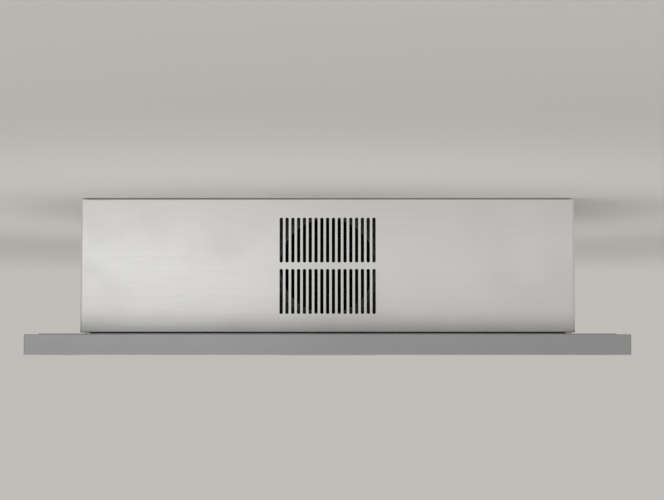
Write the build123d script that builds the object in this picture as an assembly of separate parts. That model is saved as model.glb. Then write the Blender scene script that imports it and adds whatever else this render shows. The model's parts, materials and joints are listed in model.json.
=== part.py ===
from build123d import *
from math import atan2, cos, degrees, pi, radians, sin
import os

# Ceiling range hood that recirculates the air.
#
# A wide flat canopy plate hangs under a lower, narrower box that is fixed to the ceiling.  Grease
# filters lie in the plate's underside.  One blower draws through them and a charcoal cartridge and
# blows into a diverter, whose two round mouths stand behind slotted grilles in the box's front and
# rear panels.
#
# Millimetres.  +X is to the right, -Y is the front, +Z is up.  The origin is the middle of the
# ceiling plane, so that every piece hangs below Z = 0.

# ----------------------------------------------------------------------------- driving dimensions
PLATE_WIDTH = 1092.0          # canopy plate, a 43 inch hood
PLATE_DEPTH = 686.0
PLATE_HEIGHT = 37.0           # height of the plate's outer rim
BOX_WIDTH = 917.0             # the box between the plate and the ceiling
BOX_DEPTH = 511.0
BOX_TOP = -2.0                # a thin shadow gap stays open under the ceiling
BOX_BOTTOM = -249.0
COVER_TOP = -251.5            # a second shadow gap, over the canopy's cover sheet
SHEET = 1.5                   # canopy sheet
SKIN = 1.2                    # box and chassis sheet
COVER_INSET = 22.5            # the cover sheet stops this far inside the rim

SLOT_WIDTH = 6.2
SLOT_LENGTH = 83.5
SLOT_CORNER_R = 2.6
SLOT_PITCH = 10.76
SLOT_COLUMNS = 17
SLOT_ROW_GAP = 11.9           # metal between the upper and the lower bank of slots

OPENING_WIDTH = 872.0         # hole in the plate that the filters fill
OPENING_DEPTH = 444.0
FILTER_WIDTH = 282.0
FILTER_PITCH = 292.0
FILTER_THICKNESS = 12.0
FILTER_BOTTOM = -272.0
FILTER_FRONT = -215.0
FILTER_REAR = 211.0

IMPELLER_RADIUS = 105.0
DUCT_RADIUS = 75.0            # blower outlet, a 150 mm duct
MOUTH_RADIUS = 90.0           # the two outlets behind the grilles

# ------------------------------------------------------------------------------- derived positions
COVER_BOTTOM = COVER_TOP - SHEET
PLATE_BOTTOM = COVER_BOTTOM - PLATE_HEIGHT
HALF_PLATE_W = PLATE_WIDTH / 2
HALF_PLATE_D = PLATE_DEPTH / 2
HALF_BOX_W = BOX_WIDTH / 2
HALF_BOX_D = BOX_DEPTH / 2
HALF_OPEN_W = OPENING_WIDTH / 2
HALF_OPEN_D = OPENING_DEPTH / 2
GRILLE_Z = (BOX_TOP + BOX_BOTTOM) / 2

CHASSIS_HALF_W = 442.0
CHASSIS_HALF_D = 239.0
CHASSIS_ROOF = -20.0
ROOF_UNDERSIDE = CHASSIS_ROOF - SKIN
WALL_FOOT = COVER_TOP         # chassis walls stand on the cover sheet

BLOWER_X = 265.0
BLOWER_Y = -85.0
SCROLL_TOP = -62.0
SCROLL_BOTTOM = -189.0
DUCT_Y = 41.0                 # middle of the blower's outlet

parts = {}


# ------------------------------------------------------------------------------------ small helpers
def block(x0, x1, y0, y1, z0, z1):
    """A box between two corners."""
    return Pos((x0 + x1) / 2, (y0 + y1) / 2, (z0 + z1) / 2) * Box(x1 - x0, y1 - y0, z1 - z0)


def disc(x, y, z0, z1, radius):
    """An upright cylinder between two heights."""
    return Pos(x, y, (z0 + z1) / 2) * Cylinder(radius, z1 - z0)


def rod_x(x0, x1, y, z, radius):
    """A cylinder along X."""
    return Pos((x0 + x1) / 2, y, z) * Rot(0, 90, 0) * Cylinder(radius, abs(x1 - x0))


def rod_y(x, y0, y1, z, radius):
    """A cylinder along Y."""
    return Pos(x, (y0 + y1) / 2, z) * Rot(90, 0, 0) * Cylinder(radius, abs(y1 - y0))


def upright(sketch, z0, z1):
    """A sketch of the XY plane pulled up from z0 to z1."""
    return Pos(0, 0, z0) * extrude(sketch, z1 - z0)


def both_signs(values):
    """Each pair of signs and the matching coordinates, for pieces at four corners."""
    a, b = values
    return [(sx * a, sy * b) for sx in (-1, 1) for sy in (-1, 1)]


def group(solids):
    """Separate solids kept together under one name."""
    return Compound(children=[s for s in solids])


# --------------------------------------------------------------------------------- ceiling fixings
RAIL_HALF_W = 350.0           # ceiling holes and frame centre lines
RAIL_HALF_D = 150.0
RAIL_WIDTH = 30.0
RAIL_SHEET = 3.0
LEG_DROP = 14.0               # height of the angle's upright leg
CEILING_HOLE_R = 4.5
STUD_HALF_W = 250.0
STUD_R = 4.0
STUD_BOTTOM = -44.0
STUD_TOP = -0.2


def ceiling_frame():
    """A rectangle of angle steel, screwed to the ceiling through four holes at its corners."""
    half = RAIL_WIDTH / 2
    outer = Rectangle(2 * RAIL_HALF_W + RAIL_WIDTH, 2 * RAIL_HALF_D + RAIL_WIDTH)
    inner = Rectangle(2 * RAIL_HALF_W - RAIL_WIDTH, 2 * RAIL_HALF_D - RAIL_WIDTH)
    inside_leg = Rectangle(
        2 * (RAIL_HALF_W + half - RAIL_SHEET), 2 * (RAIL_HALF_D + half - RAIL_SHEET)
    )
    flat = upright(outer - inner, -RAIL_SHEET, 0)
    leg = upright(outer - inside_leg, -LEG_DROP, 0)
    frame = flat + leg
    for x, y in both_signs((RAIL_HALF_W, RAIL_HALF_D)):
        frame -= disc(x, y, -RAIL_SHEET - 1, 1, CEILING_HOLE_R)
    for x, y in both_signs((STUD_HALF_W, RAIL_HALF_D)):
        frame -= disc(x, y, -RAIL_SHEET - 1, 1, STUD_R)
    return frame


NUT_R = 7.5
NUT_HEIGHT = 6.5
WASHER_R = 8.0
WASHER_HEIGHT = 1.5


def suspension_fixings():
    """Four M8 studs that carry the chassis roof, each with a nut and washer above and below it."""
    pieces = []
    stack = WASHER_HEIGHT + NUT_HEIGHT
    for x, y in both_signs((STUD_HALF_W, RAIL_HALF_D)):
        pieces.append(disc(x, y, STUD_BOTTOM, STUD_TOP, STUD_R))
        bore = disc(x, y, 2 * STUD_BOTTOM, 0, STUD_R)
        for face, away in ((CHASSIS_ROOF, 1), (ROOF_UNDERSIDE, -1)):
            washer = disc(x, y, *sorted((face, face + away * WASHER_HEIGHT)), WASHER_R)
            nut_from = min(face + away * WASHER_HEIGHT, face + away * stack)
            nut = Pos(x, y, nut_from) * extrude(RegularPolygon(NUT_R, 6), NUT_HEIGHT)
            pieces.append(washer + nut - bore)
    return group(pieces)


# ---------------------------------------------------------------------------------------- chassis
END_FOOT = 12.0               # the end walls' feet turn outwards by this much
WALL_FOOT_DEPTH = 11.0        # and the front and rear walls' feet by this much
LIP_DEPTH = 14.0              # lip under the roof's edge
LIP_SETBACK = 20.0            # the lip stops this far before the chassis's corners
STUD_NOTCH = 12.0             # half width of the lip's notches beside the studs
MOUTH_HOLE_R = MOUTH_RADIUS + 4.0


def chassis_roof():
    """Flat roof sheet that hangs on the studs."""
    w, d = CHASSIS_HALF_W, CHASSIS_HALF_D
    roof = block(-w, w, -d, d, ROOF_UNDERSIDE, CHASSIS_ROOF)
    for x, y in both_signs((STUD_HALF_W, RAIL_HALF_D)):
        roof -= disc(x, y, CHASSIS_ROOF - 5, CHASSIS_ROOF + 5, STUD_R + 0.5)
    return roof - disc(GLAND_X, GLAND_Y, CHASSIS_ROOF - 5, CHASSIS_ROOF + 5, GLAND_R)


def chassis_ends():
    """The two end walls, each with a foot that turns outwards on the canopy's cover."""
    w, d = CHASSIS_HALF_W, CHASSIS_HALF_D - SKIN
    walls = []
    for side in (-1, 1):
        wall = block(*sorted((side * (w - SKIN), side * w)), -d, d, WALL_FOOT, ROOF_UNDERSIDE)
        wall += block(*sorted((side * w, side * (w + END_FOOT))), -d, d, WALL_FOOT, WALL_FOOT + SKIN)
        for x, y in canopy_screw_places():
            if x * side > 0:
                wall -= disc(x, y, WALL_FOOT - 1, WALL_FOOT + 3, SCREW_R + 0.1)
        walls.append(wall)
    return group(walls)


def chassis_wall(side):
    """Front or rear wall with the mouth's clearance hole, riveted under the roof's edge."""
    w, d = CHASSIS_HALF_W, CHASSIS_HALF_D
    y_out = side * d
    y_in = side * (d - SKIN)
    y_foot = side * (d + WALL_FOOT_DEPTH)
    y_lip = side * (d - LIP_DEPTH)
    wall = block(-w + SKIN, w - SKIN, min(y_out, y_in), max(y_out, y_in), WALL_FOOT, ROOF_UNDERSIDE)
    foot = block(-w, w, min(y_out, y_foot), max(y_out, y_foot), WALL_FOOT, WALL_FOOT + SKIN)
    lip_ends = sorted((y_in, y_lip))
    lip_half = w - LIP_SETBACK
    lip = block(-lip_half, lip_half, lip_ends[0], lip_ends[1], ROOF_UNDERSIDE - SKIN, ROOF_UNDERSIDE)
    for x in (-STUD_HALF_W, STUD_HALF_W):
        lip -= block(
            x - STUD_NOTCH, x + STUD_NOTCH, lip_ends[0] - 1, lip_ends[1] + 1,
            ROOF_UNDERSIDE - 5, ROOF_UNDERSIDE + 1,
        )
    wall = wall + foot + lip
    return wall - rod_y(0, y_out - 5, y_out + 5, GRILLE_Z, MOUTH_HOLE_R)


# ------------------------------------------------------------------------------------------ the box
CORNER_R = 4.0                # bend at the box's upright corners
HEM_R = 1.6                   # bend along the top and bottom edges
HEM_DEPTH = 11.5
RETURN_DEPTH = 20.0           # the front and rear panels wrap round the corners by this much
CORNER_GAP = 1.4              # the hems stop this far short of the returns
SIDE_SETBACK = 4.6            # the side panels stop this far behind the front and rear faces
SIDE_HEM_X = HALF_BOX_W - 7.0
SIDE_HEM_HALF = 238.0
SCREW_HOLE_R = 2.1
CORNER_SCREW_SETBACK = 12.0
CORNER_SCREW_Z = (-35.0, GRILLE_Z, -216.0)


def slot_centres():
    """Centres of the slots, as (x, z)."""
    first = -(SLOT_COLUMNS - 1) / 2 * SLOT_PITCH
    row = (SLOT_LENGTH + SLOT_ROW_GAP) / 2
    return [
        (first + column * SLOT_PITCH, GRILLE_Z + sign * row)
        for sign in (-1, 1)
        for column in range(SLOT_COLUMNS)
    ]


def face_panel(side):
    """Slotted front (side -1) or rear (side +1) panel, with returns at its ends and hems."""
    y_face = side * HALF_BOX_D
    y_back = side * (HALF_BOX_D - RETURN_DEPTH)
    y_skin = side * (HALF_BOX_D - SKIN)
    y_hem = side * (HALF_BOX_D - HEM_DEPTH)
    outer = block(-HALF_BOX_W, HALF_BOX_W, min(y_face, y_back), max(y_face, y_back), BOX_BOTTOM, BOX_TOP)
    face_edges = outer.faces().sort_by(Axis.Y)[0 if side < 0 else -1].edges()
    upright_edges = face_edges.filter_by(Axis.Z)
    outer = fillet(upright_edges, CORNER_R)
    face = outer.faces().sort_by(Axis.Y)[0 if side < 0 else -1]
    level_edges = face.edges().filter_by(Axis.X)
    outer = fillet(level_edges, HEM_R)
    inside_w = HALF_BOX_W - SKIN
    inside = block(
        -inside_w, inside_w, min(y_skin, y_back - side), max(y_skin, y_back - side),
        BOX_BOTTOM + SKIN, BOX_TOP - SKIN,
    )
    inner_corner = inside.faces().sort_by(Axis.Y)[0 if side < 0 else -1].edges().filter_by(Axis.Z)
    inside = fillet(inner_corner, CORNER_R - SKIN)
    panel = outer - inside
    # hems stop short of the chassis and of the side panels
    past_hem = sorted((y_hem, y_back - side))
    panel -= block(-inside_w, inside_w, past_hem[0], past_hem[1], BOX_BOTTOM - 1, BOX_TOP + 1)
    for end in (-1, 1):
        notch = sorted((end * (inside_w - CORNER_GAP), end * inside_w))
        reach = sorted((side * (HALF_BOX_D - 2 * SKIN), y_back - side))
        for low, high in ((BOX_TOP - SKIN - 0.01, BOX_TOP + 1), (BOX_BOTTOM - 1, BOX_BOTTOM + SKIN + 0.01)):
            panel -= block(notch[0], notch[1], reach[0], reach[1], low, high)
    cutters = Sketch() + [
        Pos(x, z) * RectangleRounded(SLOT_WIDTH, SLOT_LENGTH, SLOT_CORNER_R) for x, z in slot_centres()
    ]
    cut = extrude(Plane.XZ * cutters, 10, both=True)
    panel -= Pos(0, y_face, 0) * cut
    for x, y, z in shroud_screw_places():
        if y * side > 0:
            panel -= rod_x(x - 4, x + 4, y, z, SCREW_HOLE_R)
    return panel


def side_panel(side):
    """End panel of the box: a flat sheet with narrow hems, held inside the face panels' returns."""
    x_out = side * (HALF_BOX_W - SKIN)
    x_in = side * (HALF_BOX_W - 2 * SKIN)
    x_hem = side * SIDE_HEM_X
    end = HALF_BOX_D - SIDE_SETBACK
    sheet = block(min(x_out, x_in), max(x_out, x_in), -end, end, BOX_BOTTOM, BOX_TOP)
    hem_x = sorted((x_in, x_hem))
    for low, high in ((BOX_TOP - SKIN, BOX_TOP), (BOX_BOTTOM, BOX_BOTTOM + SKIN)):
        sheet += block(hem_x[0], hem_x[1], -SIDE_HEM_HALF, SIDE_HEM_HALF, low, high)
    for x, y, z in shroud_screw_places():
        if x * side > 0:
            sheet -= rod_x(x - 4, x + 4, y, z, SCREW_HOLE_R)
    return sheet


def shroud_screw_places():
    """Screws through the corner returns: three at each upright edge of each end."""
    return [
        (sx * HALF_BOX_W, sy * (HALF_BOX_D - CORNER_SCREW_SETBACK), z)
        for sx in (-1, 1)
        for sy in (-1, 1)
        for z in CORNER_SCREW_Z
    ]


SCREW_R = 2.0
SCREW_HEAD_R = 3.9
SCREW_HEAD_HEIGHT = 1.1       # low heads, hardly proud of the sheet
SCREW_HEAD_ROUND = 0.7
SCREW_LENGTH = 8.0
CROSS_HALF_LENGTH = 2.0
CROSS_HALF_WIDTH = 0.4
CROSS_DEPTH = 0.7


def low_head_screw():
    """Screw along +Z with its head's seat at the origin and a cross recess in the head."""
    head = Pos(0, 0, SCREW_HEAD_HEIGHT / 2) * Cylinder(SCREW_HEAD_R, SCREW_HEAD_HEIGHT)
    head = fillet(head.edges().filter_by(GeomType.CIRCLE).sort_by(Axis.Z)[-1], SCREW_HEAD_ROUND)
    low, high = SCREW_HEAD_HEIGHT - CROSS_DEPTH, SCREW_HEAD_HEIGHT + 1
    a, b = CROSS_HALF_LENGTH, CROSS_HALF_WIDTH
    recess = block(-a, a, -b, b, low, high) + block(-b, b, -a, a, low, high)
    shank = Pos(0, 0, -SCREW_LENGTH / 2) * Cylinder(SCREW_R, SCREW_LENGTH)
    return head + shank - recess


def sheet_screws():
    """Screws on the box's ends, and under the cover sheet into the chassis feet."""
    screw = low_head_screw()
    screws = [
        Pos(x, y, z) * Rot(0, 90 if x > 0 else -90, 0) * screw for x, y, z in shroud_screw_places()
    ]
    screws += [Pos(x, y, COVER_BOTTOM) * Rot(180, 0, 0) * screw for x, y in canopy_screw_places()]
    return group(screws)


CLIP_HALF = 15.0
CLIP_SHELF = -60.0            # the clips' level run
CLIP_FOOT = -84.0
CLIP_TONGUE = 22.0            # the tongue behind the panel stands up by this much
SIDE_CLIP_Y = (-170.0, 150.0)
FACE_CLIP_X = (-300.0, 300.0)


def clip_section(wall, panel):
    """A clip's three runs, as (near, far, low, high): leg on the chassis, shelf, tongue at the panel."""
    return [
        (wall, wall + SKIN, CLIP_FOOT, CLIP_SHELF),
        (wall + SKIN, panel, CLIP_SHELF - SKIN, CLIP_SHELF),
        (panel - SKIN, panel, CLIP_SHELF - SKIN, CLIP_SHELF + CLIP_TONGUE),
    ]


def panel_clips():
    """Folded clips between the chassis walls and the box's panels, two on each side."""
    clips = []
    for side in (-1, 1):
        for y in SIDE_CLIP_Y:
            runs = [
                block(*sorted((side * near, side * far)), y - CLIP_HALF, y + CLIP_HALF, low, high)
                for near, far, low, high in clip_section(CHASSIS_HALF_W, HALF_BOX_W - 2 * SKIN)
            ]
            clips.append(runs[0] + runs[1] + runs[2])
        for x in FACE_CLIP_X:
            runs = [
                block(x - CLIP_HALF, x + CLIP_HALF, *sorted((side * near, side * far)), low, high)
                for near, far, low, high in clip_section(CHASSIS_HALF_D, HALF_BOX_D - SKIN)
            ]
            clips.append(runs[0] + runs[1] + runs[2])
    return group(clips)


# ------------------------------------------------------------------------------------ canopy plate
RIM_CORNER_R = 3.0
RIM_EDGE_R = 1.6
TOP_RETURN = 42.0             # the rim's top edge is folded inwards by this much
LAMP_X = 488.0
LAMP_Y = 283.0
LAMP_HOLE_R = 30.5
CONTROL_Y = -284.0
CONTROL_HALF_W = 85.0
CONTROL_HALF_D = 14.0
CUTOUT_GAP = 0.3
COVER_CORNER_R = 2.0
COVER_SCREW_Y = (-180.0, 0.0, 180.0)


def canopy_frame():
    """The visible plate: rim, underside border and the upturned lip round the filter opening."""
    z0, z1 = PLATE_BOTTOM, COVER_BOTTOM
    body = upright(RectangleRounded(PLATE_WIDTH, PLATE_DEPTH, RIM_CORNER_R), z0, z1)
    body = fillet(body.faces().sort_by(Axis.Z)[0].edges(), RIM_EDGE_R)
    body = fillet(body.faces().sort_by(Axis.Z)[-1].edges(), RIM_EDGE_R)
    hollow = upright(
        RectangleRounded(PLATE_WIDTH - 2 * SHEET, PLATE_DEPTH - 2 * SHEET, RIM_CORNER_R - SHEET),
        z0 + SHEET, z1 - SHEET,
    )
    lip_outer = upright(Rectangle(OPENING_WIDTH + 2 * SHEET, OPENING_DEPTH + 2 * SHEET), z0, z1)
    lip_inner = upright(Rectangle(OPENING_WIDTH, OPENING_DEPTH), z0 - 1, z1 + 1)
    top_hole = upright(
        Rectangle(PLATE_WIDTH - 2 * TOP_RETURN, PLATE_DEPTH - 2 * TOP_RETURN), z1 - SHEET - 1, z1 + 1
    )
    frame = body - hollow - top_hole + lip_outer - lip_inner
    for x, y in both_signs((LAMP_X, LAMP_Y)):
        frame -= disc(x, y, z0 - 1, z0 + SHEET + 1, LAMP_HOLE_R)
    half_w, half_d = CONTROL_HALF_W + CUTOUT_GAP, CONTROL_HALF_D + CUTOUT_GAP
    return frame - block(
        -half_w, half_w, CONTROL_Y - half_d, CONTROL_Y + half_d, z0 - 1, z0 + SHEET + 1
    )


def canopy_cover():
    """Flat sheet on top of the plate, its edge set back from the rim."""
    cover = upright(
        RectangleRounded(PLATE_WIDTH - 2 * COVER_INSET, PLATE_DEPTH - 2 * COVER_INSET, COVER_CORNER_R),
        COVER_BOTTOM, COVER_TOP,
    )
    cover -= upright(Rectangle(OPENING_WIDTH, OPENING_DEPTH), COVER_BOTTOM - 1, COVER_TOP + 1)
    for x, y in canopy_screw_places():
        cover -= disc(x, y, COVER_BOTTOM - 1, COVER_TOP + 1, SCREW_HOLE_R)
    return cover


def canopy_screw_places():
    """Screws that hold the chassis feet to the cover sheet."""
    return [(sx * (CHASSIS_HALF_W + END_FOOT / 2), y) for sx in (-1, 1) for y in COVER_SCREW_Y]


DIVIDER_X = (-FILTER_PITCH / 2, FILTER_PITCH / 2)
DIVIDER_HALF = 3.0
DIVIDER_SHEET = 1.0
DIVIDER_END = 1.2
DIVIDER_TOP = -258.0
DIVIDER_BOTTOM = PLATE_BOTTOM + 2.0


def filter_dividers():
    """Two folded rails from the front lip to the rear lip, between the filters."""
    y = HALF_OPEN_D
    rails = []
    for x in DIVIDER_X:
        rail = block(x - DIVIDER_HALF, x + DIVIDER_HALF, -y, y, DIVIDER_BOTTOM, DIVIDER_TOP)
        half = DIVIDER_HALF - DIVIDER_SHEET
        rail -= block(
            x - half, x + half, -y + DIVIDER_END, y - DIVIDER_END,
            DIVIDER_BOTTOM + DIVIDER_SHEET, DIVIDER_TOP + 1,
        )
        rails.append(rail)
    return group(rails)


# -------------------------------------------------------------------------------- grease filters
FILTER_BORDER = 18.0
FILTER_SHEET = 1.0
FILTER_CORNER_R = 3.0
FILTER_TOP = FILTER_BOTTOM + FILTER_THICKNESS
PIVOT_Y = 199.0                # the rear edge stays clear of the lip as the filter tilts
PIVOT_Z = FILTER_TOP + 6.5
PIN_R = 3.0
LUG_R = 5.5
LUG_NEAR = 2.5                # the lugs stand this far outside their hook's middle
LUG_FAR = 4.5
HOOK_X = 100.0                # hooks sit this far to each side of a filter's middle
BAIL_Y = -206.0
BAIL_Z = FILTER_BOTTOM - 3.5
BAIL_R = 1.6
BAIL_HALF = 30.0
BAIL_DROP = 11.5
BAIL_BENDS = [2.6, 4.5, 4.5, 2.6]
EYE_R = 4.0
BAFFLE_PITCH = 31.0
BAFFLE_WIDTH = 22.0
BAFFLE_LEG = 4.4
BAFFLE_SHEET = 0.8
BAFFLE_MARGIN = 1.1           # the channels' webs lie this far inside the frame's faces
BAFFLE_INSET = 5.0            # their ends lie this far inside the frame
STRIP_WIDTH = 8.0
STRIP_SHEET = 1.2
FILTER_X = {"left": -FILTER_PITCH, "middle": 0.0, "right": FILTER_PITCH}


def filter_frame(xc):
    """Folded channel frame with two pivot lugs at the rear and two eyelets for the bail."""
    half = FILTER_WIDTH / 2
    x0, x1 = xc - half, xc + half
    y0, y1 = FILTER_FRONT, FILTER_REAR
    solid = block(x0, x1, y0, y1, FILTER_BOTTOM, FILTER_TOP)
    solid = fillet(solid.edges().filter_by(Axis.Z), FILTER_CORNER_R)
    window = block(
        x0 + FILTER_BORDER, x1 - FILTER_BORDER, y0 + FILTER_BORDER, y1 - FILTER_BORDER,
        FILTER_BOTTOM - 1, FILTER_TOP + 1,
    )
    t = FILTER_SHEET
    channel = block(x0 + t, x1 - t, y0 + t, y1 - t, FILTER_BOTTOM + t, FILTER_TOP - t)
    channel = fillet(channel.edges().filter_by(Axis.Z), FILTER_CORNER_R - t)
    frame = solid - channel - window
    for side in (-1, 1):
        xh = xc + side * HOOK_X
        lug_x = sorted((xh + side * LUG_NEAR, xh + side * LUG_FAR))
        lug = rod_x(lug_x[0], lug_x[1], PIVOT_Y, PIVOT_Z, LUG_R)
        lug += block(lug_x[0], lug_x[1], PIVOT_Y - LUG_R, PIVOT_Y + LUG_R, FILTER_TOP - t / 2, PIVOT_Z)
        pin = rod_x(xh - side * LUG_NEAR, xh + side * LUG_FAR, PIVOT_Y, PIVOT_Z, PIN_R)
        frame += lug + pin
    for side in (-1, 1):
        eye_x = sorted((xc + side * (BAIL_HALF + LUG_NEAR), xc + side * (BAIL_HALF + LUG_FAR)))
        eye = block(eye_x[0], eye_x[1], BAIL_Y - EYE_R, BAIL_Y + EYE_R, BAIL_Z, FILTER_BOTTOM + t / 2)
        eye += rod_x(eye_x[0], eye_x[1], BAIL_Y, BAIL_Z, EYE_R)
        frame += eye
        frame -= rod_x(eye_x[0] - 1, eye_x[1] + 1, BAIL_Y, BAIL_Z, BAIL_R + 0.1)
    return frame


def channel_strip(x, z_web, opens_up):
    """One baffle: a shallow channel along Y whose ends run into the filter's frame."""
    half, t = BAFFLE_WIDTH / 2, BAFFLE_SHEET
    y0, y1 = FILTER_FRONT + BAFFLE_INSET, FILTER_REAR - BAFFLE_INSET
    up = 1 if opens_up else -1
    outer = block(x - half, x + half, y0, y1, *sorted((z_web, z_web + up * BAFFLE_LEG)))
    hollow_z = sorted((z_web + up * t, z_web + up * (BAFFLE_LEG + 1)))
    return outer - block(x - half + t, x + half - t, y0 - 1, y1 + 1, *hollow_z)


def filter_baffles(xc):
    """Two layers of channels, facing each other and half a pitch apart, on two cross strips."""
    lower_z = FILTER_BOTTOM + BAFFLE_MARGIN
    upper_z = FILTER_TOP - BAFFLE_MARGIN
    strips = [channel_strip(xc + (i - 3.5) * BAFFLE_PITCH, lower_z, True) for i in range(8)]
    strips += [channel_strip(xc + (i - 3.0) * BAFFLE_PITCH, upper_z, False) for i in range(7)]
    half = FILTER_WIDTH / 2 - 2 * FILTER_SHEET
    middle = (FILTER_BOTTOM + FILTER_TOP) / 2
    for y in (FILTER_FRONT + BAFFLE_INSET, FILTER_REAR - BAFFLE_INSET - STRIP_WIDTH):
        strips.append(block(
            xc - half, xc + half, y, y + STRIP_WIDTH, middle - STRIP_SHEET / 2, middle + STRIP_SHEET / 2
        ))
    return strips[0].fuse(*strips[1:])


def filter_bail(xc):
    """Wire bail that hangs from two eyelets and is pulled to swing the filter down."""
    reach, inner = BAIL_HALF + LUG_FAR, BAIL_HALF - 1
    top, low = BAIL_Z, BAIL_Z - BAIL_DROP
    y = BAIL_Y
    points = [
        (xc - reach, y, top), (xc - inner, y, top), (xc - inner, y, low),
        (xc + inner, y, low), (xc + inner, y, top), (xc + reach, y, top),
    ]
    path = FilletPolyline(*points, radius=BAIL_BENDS)
    profile = Plane(origin=points[0], z_dir=(1, 0, 0)) * Circle(BAIL_R)
    return sweep(profile, path=path)


HOOK_HALF = 1.5
HOOK_R = 5.1
HOOK_MOUTH = 1.5              # the ring is open above this height over the pin
ARM_NEAR = 3.1                # the arm rises behind the pin, between these distances
ARM_FAR = 6.4
ARM_TOP = 20.0
REACH_LOW = 11.0              # the level run to the wall passes over the tilting filter
HOOK_FOOT_HALF = 10.0
HOOK_FOOT_LOW = 4.0
HOOK_FOOT_TOP = 23.0


def filter_hooks():
    """Open hooks on the chassis's rear wall in which the filters' pivot pins lie and turn."""
    hooks = []
    half = HOOK_HALF
    wall_y = CHASSIS_HALF_D - SKIN
    arm_y = (PIVOT_Y + ARM_NEAR, PIVOT_Y + ARM_FAR)
    top = PIVOT_Z + ARM_TOP
    for xc in FILTER_X.values():
        for side in (-1, 1):
            xh = xc + side * HOOK_X
            ring = rod_x(xh - half, xh + half, PIVOT_Y, PIVOT_Z, HOOK_R)
            ring &= block(
                xh - 2 * half, xh + 2 * half, PIVOT_Y - 2 * HOOK_R, PIVOT_Y + 2 * HOOK_R,
                PIVOT_Z - 2 * HOOK_R, PIVOT_Z + HOOK_MOUTH,
            )
            ring += block(xh - half, xh + half, *arm_y, PIVOT_Z - 1, top)
            reach = block(xh - half, xh + half, arm_y[0], wall_y, PIVOT_Z + REACH_LOW, top)
            foot = block(
                xh - HOOK_FOOT_HALF, xh + HOOK_FOOT_HALF, wall_y - SKIN, wall_y,
                PIVOT_Z + HOOK_FOOT_LOW, PIVOT_Z + HOOK_FOOT_TOP,
            )
            hook = ring + reach + foot
            hooks.append(hook - rod_x(xh - 5, xh + 5, PIVOT_Y, PIVOT_Z, PIN_R + 0.08))
    return group(hooks)


CLIP_X = 80.0                 # leaf springs, to each side of a filter's middle
LEAF_HALF = 7.0
LEAF_SHEET = 0.8
NOSE_REACH = 6.7
NOSE_Z = FILTER_TOP - 6.5


def filter_clips():
    """Leaf springs on the front lip; the filters' front edges snap past their bent noses."""
    lip = -HALF_OPEN_D
    t = LEAF_SHEET
    with BuildLine() as nose:
        Polyline(
            (lip, FILTER_TOP + 4), (lip + t, FILTER_TOP + 4), (lip + t, FILTER_TOP - 2),
            (lip + NOSE_REACH, NOSE_Z), (lip + t, FILTER_BOTTOM - 4),
            (lip, FILTER_BOTTOM - 4), (lip, FILTER_BOTTOM - 4 + t),
            (lip + NOSE_REACH - 1.5 * t, NOSE_Z), (lip, FILTER_TOP - 2 - t / 2), close=True,
        )
    leaf = extrude(Plane.YZ * make_face(nose.line), LEAF_HALF, both=True)
    return group(Pos(xc + side * CLIP_X, 0, 0) * leaf for xc in FILTER_X.values() for side in (-1, 1))


# ------------------------------------------------------------------------------------------- lamps
BEZEL_R = 35.0
BEZEL_SHEET = 0.6
BEZEL_EDGE_R = 0.4
CUP_R = 30.0
CUP_BORE_R = 27.0
CUP_TOP = 17.0                # heights above the plate's underside
CUP_CEILING = 13.0
STEP_R = 25.0                 # inner step that the lens is pressed up against
FIN_COUNT = 9
FIN_PITCH = 6.0
FIN_HALF = 0.7
FIN_TOP = 25.0
LENS_THICKNESS = 2.5


def lamp_body(x, y):
    """Aluminium lamp body: bezel flange under the plate, cup through it and cooling fins above."""
    z = PLATE_BOTTOM
    can = disc(x, y, z - BEZEL_SHEET, z, BEZEL_R)
    can = fillet(can.edges().filter_by(GeomType.CIRCLE).sort_by(Axis.Z)[0], BEZEL_EDGE_R)
    can += disc(x, y, z - BEZEL_SHEET / 2, z + CUP_TOP, CUP_R)
    can -= disc(x, y, z - 2, z + CUP_CEILING, CUP_BORE_R)
    can += disc(x, y, z + 1, z + 2, CUP_BORE_R + 0.2) - disc(x, y, z, z + 3, STEP_R)
    for i in range(FIN_COUNT):
        offset = (i - (FIN_COUNT - 1) / 2) * FIN_PITCH
        reach = ((CUP_R - 1) ** 2 - offset ** 2) ** 0.5
        can += block(
            x + offset - FIN_HALF, x + offset + FIN_HALF, y - reach, y + reach, z + CUP_TOP - 0.5, z + FIN_TOP
        )
    return can


def lamp_lenses():
    """Frosted lenses, each pressed up against its bezel's inner step."""
    low = PLATE_BOTTOM + 2.0
    return group(
        disc(x, y, low, low + LENS_THICKNESS, CUP_BORE_R - 0.1) for x, y in both_signs((LAMP_X, LAMP_Y))
    )


# ---------------------------------------------------------------------------------- control strip
BUTTONS = ("off", "slower", "faster", "light", "timer")
BUTTON_PITCH = 25.0
BUTTON_FIRST_X = -66.0
BUTTON_R = 7.0
COLLAR_R = 8.6
STEM_R = 2.0
WINDOW_X = 63.0               # window of the remote control's receiver
WINDOW_HALF_W = 6.0
WINDOW_HALF_D = 4.0
FLANGE_WIDTH = 4.0            # the bezel's flange is wider than its tray by this much all round
TRAY_WALL = 1.5
TRAY_TOP = PLATE_BOTTOM + 12.0
BOARD_LOW = PLATE_BOTTOM + 7.4
BOARD_THICKNESS = 1.6
PANEL_LOW = PLATE_BOTTOM - 0.5
PANEL_EDGE_R = 0.3
CAP_PROUD = 0.1               # of the button's cap below the panel's face
PANEL_INNER = PANEL_LOW + 2.0


def button_x(i):
    """Place of a button along the strip."""
    return BUTTON_FIRST_X + i * BUTTON_PITCH


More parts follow.
